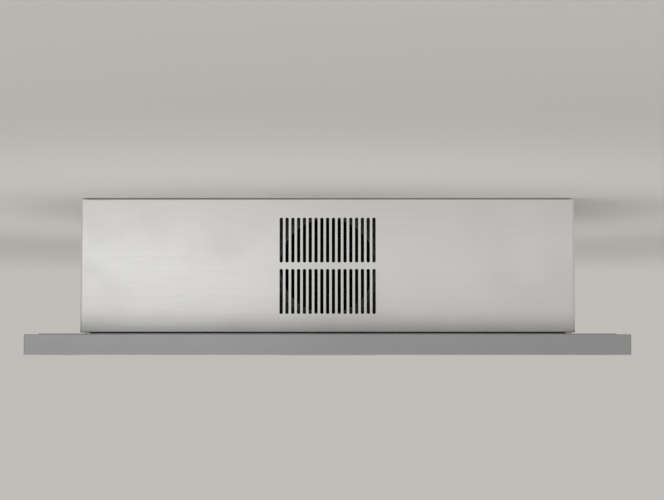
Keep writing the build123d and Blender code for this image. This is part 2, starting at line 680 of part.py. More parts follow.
def control_bezel():
    """Moulded strip in the front border: flange below, shallow tray above, five button holes."""
    w, d, t = CONTROL_HALF_W, CONTROL_HALF_D, TRAY_WALL
    y = CONTROL_Y
    outline = RectangleRounded(2 * (w + FLANGE_WIDTH), 2 * (d + FLANGE_WIDTH), 5.0)
    flange = Pos(0, y, PANEL_LOW) * extrude(outline, PLATE_BOTTOM - PANEL_LOW)
    flange = fillet(flange.faces().sort_by(Axis.Z)[0].edges(), PANEL_EDGE_R)
    tray = block(-w, w, y - d, y + d, PLATE_BOTTOM - 0.25, TRAY_TOP)
    tray -= block(-w + t, w - t, y - d + t, y + d - t, PANEL_INNER, TRAY_TOP + 1)
    bezel = flange + tray
    for i in range(len(BUTTONS)):
        bezel -= disc(button_x(i), y, PANEL_LOW - 1, PANEL_INNER + 1, BUTTON_R + 0.3)
    bezel -= block(
        WINDOW_X - WINDOW_HALF_W, WINDOW_X + WINDOW_HALF_W, y - WINDOW_HALF_D, y + WINDOW_HALF_D,
        PANEL_LOW - 1, PANEL_INNER + 1,
    )
    for ledge_x in (-w + 2 * t, w - 2 * t):
        bezel += block(ledge_x - t, ledge_x + t, y - d + 1, y + d - 1, PANEL_INNER - 0.5, BOARD_LOW)
    return bezel


def control_button(i):
    """Push button: cap, a collar that rests on the bezel's inside, and a stem."""
    x, y = button_x(i), CONTROL_Y
    cap = disc(x, y, PANEL_LOW - CAP_PROUD, PANEL_INNER + 1.1, BUTTON_R)
    cap = fillet(cap.edges().filter_by(GeomType.CIRCLE).sort_by(Axis.Z)[0], 0.5)
    collar = disc(x, y, PANEL_INNER + 0.05, PANEL_INNER + 1.1, COLLAR_R)
    stem = disc(x, y, PANEL_INNER + 1, PANEL_INNER + 2.3, STEM_R)
    return cap + collar + stem


def control_board():
    """Circuit board on the tray's ledges with a tact switch over each button."""
    w, d = CONTROL_HALF_W - TRAY_WALL - 0.4, CONTROL_HALF_D - TRAY_WALL - 0.4
    y, z = CONTROL_Y, BOARD_LOW
    board = block(-w, w, y - d, y + d, z, z + BOARD_THICKNESS)
    for i in range(len(BUTTONS)):
        x = button_x(i)
        board += block(x - 3, x + 3, y - 3, y + 3, z - 1.4, z)
        board += disc(x, y, z - 2, z - 1, 1.6)
    receiver = block(WINDOW_X - 3, WINDOW_X + 3, y - 2.5, y + 2.5, z - 2.5, z)
    return board + receiver


# ------------------------------------------------------------------------------------------ blower
SCROLL_SHEET = 1.2
SCROLL_START_R = 114.0        # radius at the tongue
SCROLL_END_R = 172.0          # radius where the outlet leaves
DUCT_STRAIGHT_X = -116.0      # end of the straight outlet, from the blower's axis
TONGUE_X = -88.0
TONGUE_Y = 80.0
TONGUE_SETBACK = 2.6          # outside of the tongue's tip behind its inside, in sheet thicknesses
SPIRAL_START = 55.0           # the spiral starts this many degrees past the tongue
SPIRAL_STEPS = 12
INLET_R = 82.0


def scroll_radius(turn):
    """Logarithmic spiral: the radius grows by the same share with each step of angle."""
    return SCROLL_START_R * (SCROLL_END_R / SCROLL_START_R) ** (turn / 360.0)


def scroll_outline(grow):
    """The scroll and its outlet seen from above, grown outwards by a wall's thickness."""
    points = []
    for k in range(SPIRAL_STEPS + 1):
        turn = SPIRAL_START + (360.0 - SPIRAL_START) * k / SPIRAL_STEPS
        angle = radians(90.0 + turn)
        r = scroll_radius(turn) + grow
        points.append((r * cos(angle), r * sin(angle)))
    start, end = points[0], points[-1]
    outer_y = SCROLL_END_R + grow
    inner_y = TONGUE_Y - grow
    tip_x = TONGUE_X - TONGUE_SETBACK * grow
    with BuildLine() as line:
        Spline(*points)
        Polyline(end, (DUCT_STRAIGHT_X, outer_y), (DUCT_STRAIGHT_X, inner_y), (tip_x, inner_y), start)
    return Pos(BLOWER_X, BLOWER_Y) * make_face(line.line)


def scroll_wall():
    """Galvanised spiral wall between the two plates, open where the outlet leaves."""
    low, high = SCROLL_BOTTOM + SCROLL_SHEET, SCROLL_TOP - SCROLL_SHEET
    wall = upright(scroll_outline(SCROLL_SHEET), low, high) - upright(scroll_outline(0), low - 1, high + 1)
    end_x = BLOWER_X + DUCT_STRAIGHT_X
    return wall - block(
        end_x - 3, end_x + 6, BLOWER_Y + TONGUE_Y, BLOWER_Y + SCROLL_END_R, low - 1, high + 1
    )


def scroll_top():
    """Top plate of the scroll, with the motor's opening and the bushes' holes."""
    plate = upright(scroll_outline(SCROLL_SHEET), SCROLL_TOP - SCROLL_SHEET, SCROLL_TOP)
    plate -= disc(BLOWER_X, BLOWER_Y, SCROLL_TOP - 5, SCROLL_TOP + 5, MOTOR_R + 3)
    for x, y in bush_places():
        plate -= disc(x, y, SCROLL_TOP - 5, SCROLL_TOP + 5, BUSH_HOLE_R)
    return plate


INLET_SHEET = 1.2
INLET_THROAT_R = INLET_R - 6
INLET_THROAT_Z = SCROLL_BOTTOM + 9
INLET_TOP = SCROLL_BOTTOM + 13
SPIGOT_BOTTOM = SCROLL_BOTTOM - 11
BAYONET_COUNT = 3
BAYONET_HALF_ANGLE = 7.0
BAYONET_REACH = 4.0
BAYONET_TOP = SCROLL_BOTTOM - 3.1
BAYONET_HEIGHT = 2.0


def scroll_inlet_plate():
    """Bottom plate of the scroll, and under it the flared inlet ring with its bayonet spigot."""
    plate = upright(scroll_outline(SCROLL_SHEET), SCROLL_BOTTOM, SCROLL_BOTTOM + SCROLL_SHEET)
    plate -= disc(BLOWER_X, BLOWER_Y, SCROLL_BOTTOM - 5, SCROLL_BOTTOM + 5, INLET_R + 2)
    outline = [
        (SPIGOT_R - 2, SPIGOT_BOTTOM), (SPIGOT_R, SPIGOT_BOTTOM), (SPIGOT_R, SCROLL_BOTTOM),
        (INLET_R + 1.2, SCROLL_BOTTOM), (INLET_THROAT_R, INLET_THROAT_Z), (INLET_THROAT_R, INLET_TOP),
        (INLET_THROAT_R - INLET_SHEET, INLET_TOP), (INLET_THROAT_R - INLET_SHEET, INLET_THROAT_Z - 0.4),
        (INLET_R + 0.6, SCROLL_BOTTOM - INLET_SHEET), (SPIGOT_R - 2, SCROLL_BOTTOM - INLET_SHEET),
    ]
    with BuildPart() as turned:
        with BuildSketch(Plane.XZ):
            with BuildLine():
                Polyline(*outline, close=True)
            make_face()
        revolve(axis=Axis.Z)
    inlet = Pos(BLOWER_X, BLOWER_Y, 0) * turned.part
    for k in range(BAYONET_COUNT):
        middle = k * 360.0 / BAYONET_COUNT
        inlet += sector(
            SPIGOT_R - 1, SPIGOT_R + BAYONET_REACH, BAYONET_TOP - BAYONET_HEIGHT, BAYONET_TOP,
            middle - BAYONET_HALF_ANGLE, middle + BAYONET_HALF_ANGLE,
        )
    return group([plate, inlet])


def ring(r_in, r_out, z0, z1):
    """A round ring about the blower's axis."""
    return disc(BLOWER_X, BLOWER_Y, z0, z1, r_out) - disc(BLOWER_X, BLOWER_Y, z0 - 1, z1 + 1, r_in)


def sector(r_in, r_out, z0, z1, start, end):
    """Part of a ring about the blower's axis, between two angles in degrees."""
    far = 2 * r_out
    mid = (start + end) / 2
    corners = [(0, 0)] + [(far * cos(radians(a)), far * sin(radians(a))) for a in (start, mid, end)]
    wedge = upright(Pos(BLOWER_X, BLOWER_Y) * make_face(Polyline(*corners, close=True)), z0, z1)
    return ring(r_in, r_out, z0, z1) & wedge


MOTOR_R = 55.0
MOTOR_TOP = -38.0
MOTOR_BOTTOM = -112.0
HUB_Z = -120.0
HUB_DISC_R = 95.0
HUB_R = 14.0
HUB_DROP = 14.0
BLADE_TOP = -76.0
BLADE_BOTTOM = -172.0
BLADE_INNER_R = 88.0
BLADE_LEAN = 3.2
BLADE_BOW = 2.6
BLADE_SHEET = 1.0
END_RING_WIDTH = 8.0
END_RING_HEIGHT = 2.0
SEGMENT_COUNT = 8             # the cage is moulded in eight segments
SEGMENT_BLADES = 5
SEGMENT_START = -4.0          # the segments meet midway between two blades
SHAFT_R = 4.0


def blade_section():
    """Section of one blade: two arcs that bow back and lean forward, closed at root and tip."""
    r0, r1 = BLADE_INNER_R, IMPELLER_RADIUS - 0.4
    middle_r = (r0 + r1) / 2
    tip = (r1 - 0.6, BLADE_LEAN + BLADE_SHEET)
    with BuildSketch() as blade:
        with BuildLine():
            ThreePointArc((r0, 0), (middle_r, -BLADE_BOW), (r1, BLADE_LEAN))
            Line((r1, BLADE_LEAN), tip)
            ThreePointArc(tip, (middle_r, -BLADE_BOW + BLADE_SHEET), (r0, BLADE_SHEET))
            Line((r0, BLADE_SHEET), (r0, 0))
        make_face()
    return blade.sketch


def impeller():
    """Forward-curved wheel: a hub disc, notched into a cage of blades between two end rings."""
    x, y = BLOWER_X, BLOWER_Y
    hub = disc(x, y, HUB_Z - 1, HUB_Z + 1, HUB_DISC_R)
    hub += disc(x, y, HUB_Z - HUB_DROP, HUB_Z, HUB_R)
    hub -= disc(x, y, HUB_Z - 20, HUB_Z + 5, SHAFT_R)
    step = 360.0 / SEGMENT_COUNT
    ring_inner = IMPELLER_RADIUS - END_RING_WIDTH
    end = SEGMENT_START + step
    rim = IMPELLER_RADIUS
    segment = sector(ring_inner, rim, BLADE_TOP - END_RING_HEIGHT, BLADE_TOP, SEGMENT_START, end)
    segment += sector(ring_inner, rim, BLADE_BOTTOM, BLADE_BOTTOM + END_RING_HEIGHT, SEGMENT_START, end)
    blade = upright(blade_section(), BLADE_BOTTOM + END_RING_HEIGHT / 2, BLADE_TOP - END_RING_HEIGHT / 2)
    for k in range(SEGMENT_BLADES):
        segment += Pos(x, y, 0) * Rot(0, 0, step * k / SEGMENT_BLADES) * blade
    segment -= disc(x, y, HUB_Z - 1, HUB_Z + 1, HUB_DISC_R)
    cage = [
        Pos(x, y, 0) * Rot(0, 0, step * k) * Pos(-x, -y, 0) * segment for k in range(SEGMENT_COUNT)
    ]
    return group([hub] + cage)


SHAFT_NUT_Z = HUB_Z - 21.0
BEARING_R = 18.0
BEARING_DROP = 8.0
MOTOR_ROUND = 4.0
MOTOR_FLANGE = 2.2
MOTOR_FLANGE_Z = -58.0
BRACKET_Z = -54.0
BRACKET_TOP = -51.6
BRACKET_WIDTH = 9.0
ARM_HALF = 8.0
VENT_COUNT = 12


def motor_shaft():
    """Shaft and its nut, turning with the wheel."""
    x, y = BLOWER_X, BLOWER_Y
    shaft = disc(x, y, SHAFT_NUT_Z - 3, MOTOR_BOTTOM - 0.3, SHAFT_R)
    nut = Pos(x, y, SHAFT_NUT_Z) * extrude(RegularPolygon(NUT_R, 6), NUT_HEIGHT - 0.5)
    return shaft + (nut - disc(x, y, SHAFT_NUT_Z - 5, HUB_Z, SHAFT_R))


def motor_body():
    """Motor can with a mounting flange, a bearing nose and vent slots in its top."""
    x, y = BLOWER_X, BLOWER_Y
    motor = disc(x, y, MOTOR_BOTTOM + BEARING_DROP, MOTOR_TOP, MOTOR_R)
    motor = fillet(motor.edges().filter_by(GeomType.CIRCLE), MOTOR_ROUND)
    motor += disc(x, y, MOTOR_BOTTOM, MOTOR_BOTTOM + BEARING_DROP + 1, BEARING_R)
    motor += ring(MOTOR_R - 1, MOTOR_R + MOTOR_FLANGE, MOTOR_FLANGE_Z, BRACKET_Z)
    motor += rod_x(x - MOTOR_R, x - MOTOR_R + 6, y, MOTOR_LEAD_Z, CABLE_R + 2)
    vent = block(MOTOR_R - 25, MOTOR_R - 9, -2, 2, MOTOR_TOP - 3, MOTOR_TOP + 1)
    for k in range(VENT_COUNT):
        motor -= Pos(x, y, 0) * Rot(0, 0, 360.0 * k / VENT_COUNT) * vent
    return motor


BUSH_CIRCLE_R = 74.0
BUSH_R = 8.0
BUSH_NECK_R = 3.9
BUSH_HOLE_R = 4.0
BUSH_FOOT_R = 6.5
BUSH_BORE_R = 2.1
BUSH_BOTTOM = SCROLL_TOP - 5.2


def bush_places():
    """Three isolating bushes round the motor."""
    return [
        (BLOWER_X + BUSH_CIRCLE_R * cos(radians(a)), BLOWER_Y + BUSH_CIRCLE_R * sin(radians(a)))
        for a in (90, 210, 330)
    ]


def motor_bracket():
    """Three-armed spider that carries the motor's flange on the bushes."""
    bracket = ring(MOTOR_R + 0.2, MOTOR_R + BRACKET_WIDTH, BRACKET_Z, BRACKET_TOP)
    arm = block(MOTOR_R + 5, BUSH_CIRCLE_R, -ARM_HALF, ARM_HALF, BRACKET_Z, BRACKET_TOP)
    for x, y in bush_places():
        away = degrees(atan2(y - BLOWER_Y, x - BLOWER_X))
        bracket += Pos(BLOWER_X, BLOWER_Y, 0) * Rot(0, 0, away) * arm
        bracket += disc(x, y, BRACKET_Z, BRACKET_TOP, ARM_HALF + 1)
    for x, y in bush_places():
        bracket -= disc(x, y, BRACKET_Z - 1, BRACKET_TOP + 1, BUSH_HOLE_R)
    return bracket


def rubber_bushes():
    """Rubber bushes between the bracket and the scroll's top plate."""
    bushes = []
    for x, y in bush_places():
        bush = disc(x, y, SCROLL_TOP, BRACKET_Z, BUSH_R)
        bush += disc(x, y, BUSH_BOTTOM + 1, BRACKET_Z, BUSH_NECK_R)
        bush += disc(x, y, BUSH_BOTTOM, SCROLL_TOP - SCROLL_SHEET, BUSH_FOOT_R)
        bushes.append(bush - disc(x, y, BUSH_BOTTOM - 1, BRACKET_Z + 1, BUSH_BORE_R))
    return group(bushes)


HANGER_PLACES = (
    (BLOWER_X - 95, BLOWER_Y + 150), (BLOWER_X + 100, BLOWER_Y + 95),
    (BLOWER_X + 95, BLOWER_Y - 85), (BLOWER_X - 70, BLOWER_Y - 92),
)
HANGER_R = 6.0
HANGER_FOOT_R = 10.0
HANGER_FOOT_HEIGHT = 3.0


def blower_hangers():
    """Four turned posts between the chassis roof and the scroll's top plate."""
    hangers = []
    for x, y in HANGER_PLACES:
        post = disc(x, y, SCROLL_TOP, ROOF_UNDERSIDE, HANGER_R)
        post += disc(x, y, SCROLL_TOP, SCROLL_TOP + HANGER_FOOT_HEIGHT, HANGER_FOOT_R)
        post += disc(x, y, ROOF_UNDERSIDE - HANGER_FOOT_HEIGHT, ROOF_UNDERSIDE, HANGER_FOOT_R)
        hangers.append(post)
    return group(hangers)


DAMPER_X = 97.0
COLLAR_START_X = DAMPER_X - 9.0
COLLAR_END_X = DAMPER_X + 12.0
COLLAR_FLANGE = 9.0
DUCT_CORNER_R = 12.0
DAMPER_PIN_R = 1.5
PIN_BOSS_R = 3.4
PIN_BOSS_HEIGHT = 1.6
FLAP_R = DUCT_RADIUS - SCROLL_SHEET - 2.0
FLAP_HALF_SHEET = 0.5
FLAP_ROOT = 3.4               # the flap's sheet starts this far from the pin's axis
KNUCKLE_R = 2.7
KNUCKLE_HEIGHT = 20.0
KNUCKLE_PITCH = 66.0
KNUCKLE_FIRST_Z = {-1: -60.0, 1: -38.0}


def duct_transition():
    """Sheet duct that turns the scroll's rectangular mouth into the round damper collar."""
    width = SCROLL_END_R - TONGUE_Y + 2 * SCROLL_SHEET
    height = SCROLL_TOP - SCROLL_BOTTOM
    mid_z = (SCROLL_TOP + SCROLL_BOTTOM) / 2
    mid_y = BLOWER_Y + (SCROLL_END_R + TONGUE_Y) / 2

    def skin(shrink):
        """The duct's outside, or with shrink its inside."""
        start = Plane(origin=(BLOWER_X + DUCT_STRAIGHT_X, mid_y, mid_z), x_dir=(0, 1, 0), z_dir=(-1, 0, 0))
        end = Plane(origin=(COLLAR_END_X, DUCT_Y, GRILLE_Z), x_dir=(0, 1, 0), z_dir=(-1, 0, 0))
        square = start * RectangleRounded(width - 2 * shrink, height - 2 * shrink, DUCT_CORNER_R - shrink)
        round_end = end * Circle(DUCT_RADIUS - shrink)
        return loft([square.face(), round_end.face()], ruled=True)

    return skin(0) - skin(SCROLL_SHEET)


def damper_collar():
    """Round collar between the duct and the diverter; it carries the flaps' pin."""
    collar = rod_x(COLLAR_START_X, COLLAR_END_X, DUCT_Y, GRILLE_Z, DUCT_RADIUS)
    collar += rod_x(
        DIVERTER_HALF_W, DIVERTER_HALF_W + SCROLL_SHEET, DUCT_Y, GRILLE_Z, DUCT_RADIUS + COLLAR_FLANGE
    )
    collar -= rod_x(COLLAR_START_X - 1, COLLAR_END_X + 1, DUCT_Y, GRILLE_Z, DUCT_RADIUS - SCROLL_SHEET)
    for side in (-1, 1):
        z = GRILLE_Z + side * (DUCT_RADIUS - SCROLL_SHEET)
        collar += disc(DAMPER_X, DUCT_Y, *sorted((z, z - side * PIN_BOSS_HEIGHT)), PIN_BOSS_R)
        low, high = sorted((z - side * 2.0, GRILLE_Z + side * (DUCT_RADIUS - 0.6)))
        collar -= disc(DAMPER_X, DUCT_Y, low, high, DAMPER_PIN_R)
    return collar


def damper_pin():
    """Upright pin across the collar."""
    reach = DUCT_RADIUS - 0.7
    return disc(DAMPER_X, DUCT_Y, GRILLE_Z - reach, GRILLE_Z + reach, DAMPER_PIN_R)


def damper_flap(side):
    """Half-round flap with two rolled knuckles on the pin; side -1 is the front one."""
    x0, x1 = DAMPER_X - FLAP_HALF_SHEET, DAMPER_X + FLAP_HALF_SHEET
    y0, y1 = sorted((DUCT_Y + side * FLAP_ROOT, DUCT_Y + side * (FLAP_R + 1)))
    flap = rod_x(x0, x1, DUCT_Y, GRILLE_Z, FLAP_R)
    flap &= block(x0 - 1, x1 + 1, y0, y1, GRILLE_Z - DUCT_RADIUS, GRILLE_Z + DUCT_RADIUS)
    for k in range(2):
        low = GRILLE_Z + KNUCKLE_FIRST_Z[side] + k * KNUCKLE_PITCH
        high = low + KNUCKLE_HEIGHT
        knuckle = disc(DAMPER_X, DUCT_Y, low, high, KNUCKLE_R)
        knuckle += block(x0, x1, *sorted((DUCT_Y, DUCT_Y + side * (FLAP_ROOT + 1.1))), low, high)
        flap += knuckle - disc(DAMPER_X, DUCT_Y, low - 1, high + 1, DAMPER_PIN_R + 0.06)
    return flap


# ----------------------------------------------------------------------------- charcoal cartridge
SPIGOT_R = 98.0
CARTRIDGE_R = 120.0
CARTRIDGE_TOP = SCROLL_BOTTOM - 1.0
CARTRIDGE_BOTTOM = SCROLL_BOTTOM - 34.0
CARTRIDGE_WALL = 2.0
GUIDE_R = SPIGOT_R + 5.0      # inner face of the short wall that runs round the bayonet lugs
GUIDE_DEPTH = 11.0
NOTCH_START = 16.0
NOTCH_ANGLE = 18.0
FLOOR_SLOTS = 24
FLOOR_SLOT_HALF = 3.2
FLOOR_SLOT_INNER_R = 32.0
GRIP_HALF_LENGTH = 26.0
GRIP_HALF_WIDTH = 3.0
GRIP_DROP = 7.0


def charcoal_cartridge():
    """Bayonet cartridge: collar with three notches, drum and a slotted floor with a grip bar."""
    top, bottom, t = CARTRIDGE_TOP, CARTRIDGE_BOTTOM, CARTRIDGE_WALL
    shell = ring(CARTRIDGE_R - t, CARTRIDGE_R, bottom, top)
    shell += ring(SPIGOT_R + 0.6, CARTRIDGE_R - 1, top - t, top)
    shell += ring(GUIDE_R, GUIDE_R + 1.6, top - GUIDE_DEPTH, top - 1)
    for k in range(BAYONET_COUNT):
        start = k * 360.0 / BAYONET_COUNT + NOTCH_START
        shell -= sector(SPIGOT_R - 2, GUIDE_R - 0.2, top - t - 1, top + 1, start, start + NOTCH_ANGLE)
    floor = disc(BLOWER_X, BLOWER_Y, bottom, bottom + t, CARTRIDGE_R - 1)
    slot = block(
        FLOOR_SLOT_INNER_R, CARTRIDGE_R - 12, -FLOOR_SLOT_HALF, FLOOR_SLOT_HALF, bottom - 1, bottom + t + 1
    )
    for k in range(FLOOR_SLOTS):
        floor -= Pos(BLOWER_X, BLOWER_Y, 0) * Rot(0, 0, 360.0 * k / FLOOR_SLOTS) * slot
    grip = block(
        -GRIP_HALF_LENGTH, GRIP_HALF_LENGTH, -GRIP_HALF_WIDTH, GRIP_HALF_WIDTH, bottom - GRIP_DROP, bottom + 1
    )
    return shell + floor + Pos(BLOWER_X, BLOWER_Y, 0) * grip


def charcoal_pack():
    """The bed of charcoal granules in its fleece, inside the cartridge."""
    low, high = CARTRIDGE_BOTTOM + CARTRIDGE_WALL, CARTRIDGE_TOP - GUIDE_DEPTH - 2
    return disc(BLOWER_X, BLOWER_Y, low, high, CARTRIDGE_R - CARTRIDGE_WALL - 0.2)


# ---------------------------------------------------------------------------------------- diverter
DIVERTER_HALF_W = 95.0
DIVERTER_TOP = -31.0
DIVERTER_BOTTOM = -220.0
DIVERTER_FLANGE_W = 10.0
DIVERTER_FLANGE_H = 8.0
SPLITTER_NOSE_X = -14.0
SPLITTER_SHEET = 1.0
DIVIDER_END_X = COLLAR_START_X - 0.5
MOUTH_REACH = 13.0            # the spigots stand this far out of the chassis walls
MOUTH_SHEET = 1.4
MOUTH_FLANGE_R = MOUTH_RADIUS + 11.0
MOUTH_FLANGE_SHEET = 1.2
MOUTH_BEAD = 1.6


def diverter_box():
    """Rectangular duct from the front wall to the rear wall, with the blower's inlet in its side."""
    w, d = DIVERTER_HALF_W, CHASSIS_HALF_D - SKIN
    box = block(-w, w, -d, d, DIVERTER_BOTTOM, DIVERTER_TOP)
    box -= block(-w + SKIN, w - SKIN, -d - 1, d + 1, DIVERTER_BOTTOM + SKIN, DIVERTER_TOP - SKIN)
    outer_w = w + DIVERTER_FLANGE_W
    low, high = DIVERTER_BOTTOM - DIVERTER_FLANGE_H, DIVERTER_TOP + DIVERTER_FLANGE_H
    for side in (-1, 1):
        y = sorted((side * d, side * (d - SKIN)))
        flange = block(-outer_w, outer_w, y[0], y[1], low, high)
        flange -= block(-w + 0.5, w - 0.5, y[0] - 1, y[1] + 1, DIVERTER_BOTTOM + 0.5, DIVERTER_TOP - 0.5)
        box += flange
    return box - rod_x(w - 5, w + 5, DUCT_Y, GRILLE_Z, DUCT_RADIUS)


def flow_splitter():
    """Flat sheet that parts the air from the blower, and two quarter-round vanes that turn it aside."""
    low, high = DIVERTER_BOTTOM + SKIN, DIVERTER_TOP - SKIN
    wall = -DIVERTER_HALF_W + SKIN
    r = SPLITTER_NOSE_X - wall
    half = SPLITTER_SHEET / 2
    vanes = [block(SPLITTER_NOSE_X, DIVIDER_END_X, DUCT_Y - half, DUCT_Y + half, low, high)]
    for side in (-1, 1):
        y = DUCT_Y + side * r
        tube = disc(SPLITTER_NOSE_X, y, low, high, r)
        tube -= disc(SPLITTER_NOSE_X, y, low, high, r - SPLITTER_SHEET)
        quarter = block(wall, SPLITTER_NOSE_X, *sorted((y, DUCT_Y)), low, high)
        vanes.append(tube & quarter)
    return group(vanes)


def outlet_mouth(side):
    """Round spigot in the chassis wall with its flange, close behind the slotted grille."""
    wall = side * CHASSIS_HALF_D
    front = side * (CHASSIS_HALF_D + MOUTH_REACH)
    back = side * (CHASSIS_HALF_D - SKIN)
    mouth = rod_y(0, min(front, back), max(front, back), GRILLE_Z, MOUTH_RADIUS)
    mouth += rod_y(0, *sorted((wall, wall + side * MOUTH_FLANGE_SHEET)), GRILLE_Z, MOUTH_FLANGE_R)
    mouth += rod_y(0, *sorted((front, front - side * MOUTH_BEAD)), GRILLE_Z, MOUTH_RADIUS + MOUTH_BEAD)
    inside = sorted((back - side, front + side))
    return mouth - rod_y(0, inside[0], inside[1], GRILLE_Z, MOUTH_RADIUS - MOUTH_SHEET)


# ------------------------------------------------------------------------------------- electrical
GLAND_X = -380.0
GLAND_Y = 120.0
GLAND_R = 10.0
GLAND_BORE_R = 5.0
GLAND_NUT_R = 13.5
GLAND_NUT_HEIGHT = 6.0
GLAND_LOCKNUT_HEIGHT = 4.0
GLAND_CAP_R = 9.0
GLAND_CAP_HEIGHT = 8.0
BOX_X = (-425.0, -255.0)      # the tray of the electronics
BOX_Y = (-70.0, 55.0)
BOX_FLOOR = -78.0
BOX_SHEET = 1.0
LID_EDGE = 8.0
BOARD_X = (BOX_X[0] + 50.0, BOX_X[1] - 12.0)
BOARD_Y = (BOX_Y[0] + 10.0, BOX_Y[1] - 10.0)
BOARD_TOP = ROOF_UNDERSIDE - 10.0
POST_R = 3.0
POST_INSET = 6.0
TRANSFORMER = (34.0, 36.0, 25.4)
RELAY = (13.0, 20.0, 15.4)
RELAY_PITCH = 18.0
CAPACITOR_R = 16.0
CAPACITOR_LENGTH = 69.0


def control_box():
    """Steel tray under the roof that holds the mains electronics; it is open below."""
    x0, x1 = BOX_X
    y0, y1 = BOX_Y
    t = BOX_SHEET
    tray = block(x0, x1, y0, y1, BOX_FLOOR, ROOF_UNDERSIDE)
    tray -= block(x0 + t, x1 - t, y0 + t, y1 - t, BOX_FLOOR - 1, ROOF_UNDERSIDE - t)
    return tray - rod_x(x1 - 4, x1 + 4, CABLE_Y, CABLE_START_Z, CABLE_R + 0.4)


def control_box_lid():
    """Lid with a folded edge that closes the tray from below."""
    x0, x1 = BOX_X
    y0, y1 = BOX_Y
    t = BOX_SHEET
    lid = block(x0 - t, x1 + t, y0 - t, y1 + t, BOX_FLOOR - t, BOX_FLOOR + LID_EDGE)
    return lid - block(x0, x1, y0, y1, BOX_FLOOR, BOX_FLOOR + LID_EDGE + 1)


def under_board(x, y, size):
    """A component that hangs under the board, from its near left corner."""
    length, depth, drop = size
    low = BOARD_TOP - BOARD_THICKNESS
    return block(x, x + length, y, y + depth, low - drop, low)


def power_board():
    """Circuit board on four posts with a transformer and three relays."""
    x0, x1 = BOARD_X
    y0, y1 = BOARD_Y
    board = block(x0, x1, y0, y1, BOARD_TOP - BOARD_THICKNESS, BOARD_TOP)
    for x in (x0 + POST_INSET, x1 - POST_INSET):
        for y in (y0 + POST_INSET, y1 - POST_INSET):
            board += disc(x, y, BOARD_TOP, ROOF_UNDERSIDE - BOX_SHEET, POST_R)
    board += under_board(x0 + 8, y0 + 16, TRANSFORMER)
    for k in range(3):
        board += under_board(x0 + 54 + k * RELAY_PITCH, y0 + 12, RELAY)
    return board


def run_capacitor():
    """Motor capacitor lying in the tray."""
    y = BOX_Y[0] + 14
    can = rod_y(BOX_X[0] + 25, y, y + CAPACITOR_LENGTH, ROOF_UNDERSIDE - 22, CAPACITOR_R)
    return fillet(can.edges().filter_by(GeomType.CIRCLE), 1.5)


def cable_gland():
    """Strain-relief gland for the supply lead, in the chassis roof."""
    x, y = GLAND_X, GLAND_Y
    nut_top = CHASSIS_ROOF + GLAND_NUT_HEIGHT
    gland = disc(x, y, ROOF_UNDERSIDE - 6, nut_top, GLAND_R)
    gland += Pos(x, y, CHASSIS_ROOF) * extrude(RegularPolygon(GLAND_NUT_R, 6), GLAND_NUT_HEIGHT)
    locknut = extrude(RegularPolygon(GLAND_NUT_R - 0.5, 6), GLAND_LOCKNUT_HEIGHT)
    gland += Pos(x, y, ROOF_UNDERSIDE - GLAND_LOCKNUT_HEIGHT) * locknut
    gland += disc(x, y, nut_top, nut_top + GLAND_CAP_HEIGHT, GLAND_CAP_R)
    return gland - disc(x, y, ROOF_UNDERSIDE - 10, nut_top + 20, GLAND_BORE_R)


CABLE_R = 3.2
CABLE_Y = 0.0
CABLE_START_Z = -50.0
CABLE_ROOF_Z = -25.4
MOTOR_LEAD_Z = -47.0


def motor_cable():
    """Lead from the electronics over the diverter to the motor's side, held under the roof."""
    points = [
        (BOX_X[1] - 1, CABLE_Y, CABLE_START_Z), (-205.0, CABLE_Y, CABLE_START_Z),
        (-160.0, -6.0, CABLE_ROOF_Z), (-110.0, -16.0, CABLE_ROOF_Z),
        (-55.0, -12.0, CABLE_ROOF_Z), (0.0, -24.0, CABLE_ROOF_Z),
        (52.0, -34.0, CABLE_ROOF_Z), (100.0, -58.0, CABLE_ROOF_Z - 1.0),
        (155.0, BLOWER_Y, MOTOR_LEAD_Z), (BLOWER_X - MOTOR_R, BLOWER_Y, MOTOR_LEAD_Z),
    ]
    radii = corner_radii(points)
    path = FilletPolyline(*points, radius=radii)
    start = Plane(origin=points[0], z_dir=(1, 0, 0))
    lead = sweep(start * Circle(CABLE_R), path=path)
    share = lead.volume / (pi * CABLE_R ** 2 * path.length)
    print("motor cable: radii", [round(r, 1) for r in radii], "length", round(path.length))
    print("motor cable: volume over section times length", round(share, 4))
    return lead


def corner_radii(points):
    """The largest arc that each corner's two runs allow: 0.45 of the shorter run."""
    radii = []
    for a, b, c in zip(points, points[1:], points[2:]):
        first = Vector(*b) - Vector(*a)
        second = Vector(*c) - Vector(*b)
        turn = radians(first.get_angle(second))
        shorter = min(first.length, second.length)
        radii.append(0.45 * shorter / (sin(turn / 2) / cos(turn / 2)))
    return radii


# ------------------------------------------------------------------------------------ all the pieces
parts["ceiling_frame"] = ceiling_frame()
parts["suspension_fixings"] = suspension_fixings()
parts["chassis_roof"] = chassis_roof()
parts["chassis_ends"] = chassis_ends()
parts["chassis_front_wall"] = chassis_wall(-1)
parts["chassis_rear_wall"] = chassis_wall(1)
parts["front_panel"] = face_panel(-1)
parts["rear_panel"] = face_panel(1)
parts["left_panel"] = side_panel(-1)
parts["right_panel"] = side_panel(1)
parts["sheet_screws"] = sheet_screws()
parts["panel_clips"] = panel_clips()
parts["canopy_frame"] = canopy_frame()
parts["canopy_cover"] = canopy_cover()
parts["filter_dividers"] = filter_dividers()
parts["filter_hooks"] = filter_hooks()
parts["filter_clips"] = filter_clips()
for place, xc in FILTER_X.items():
    parts[f"filter_frame_{place}"] = filter_frame(xc)
    parts[f"filter_baffles_{place}"] = filter_baffles(xc)
    parts[f"filter_bail_{place}"] = filter_bail(xc)
parts["lamp_bodies"] = group(lamp_body(x, y) for x, y in both_signs((LAMP_X, LAMP_Y)))
parts["lamp_lenses"] = lamp_lenses()
parts["control_bezel"] = control_bezel()
parts["control_board"] = control_board()
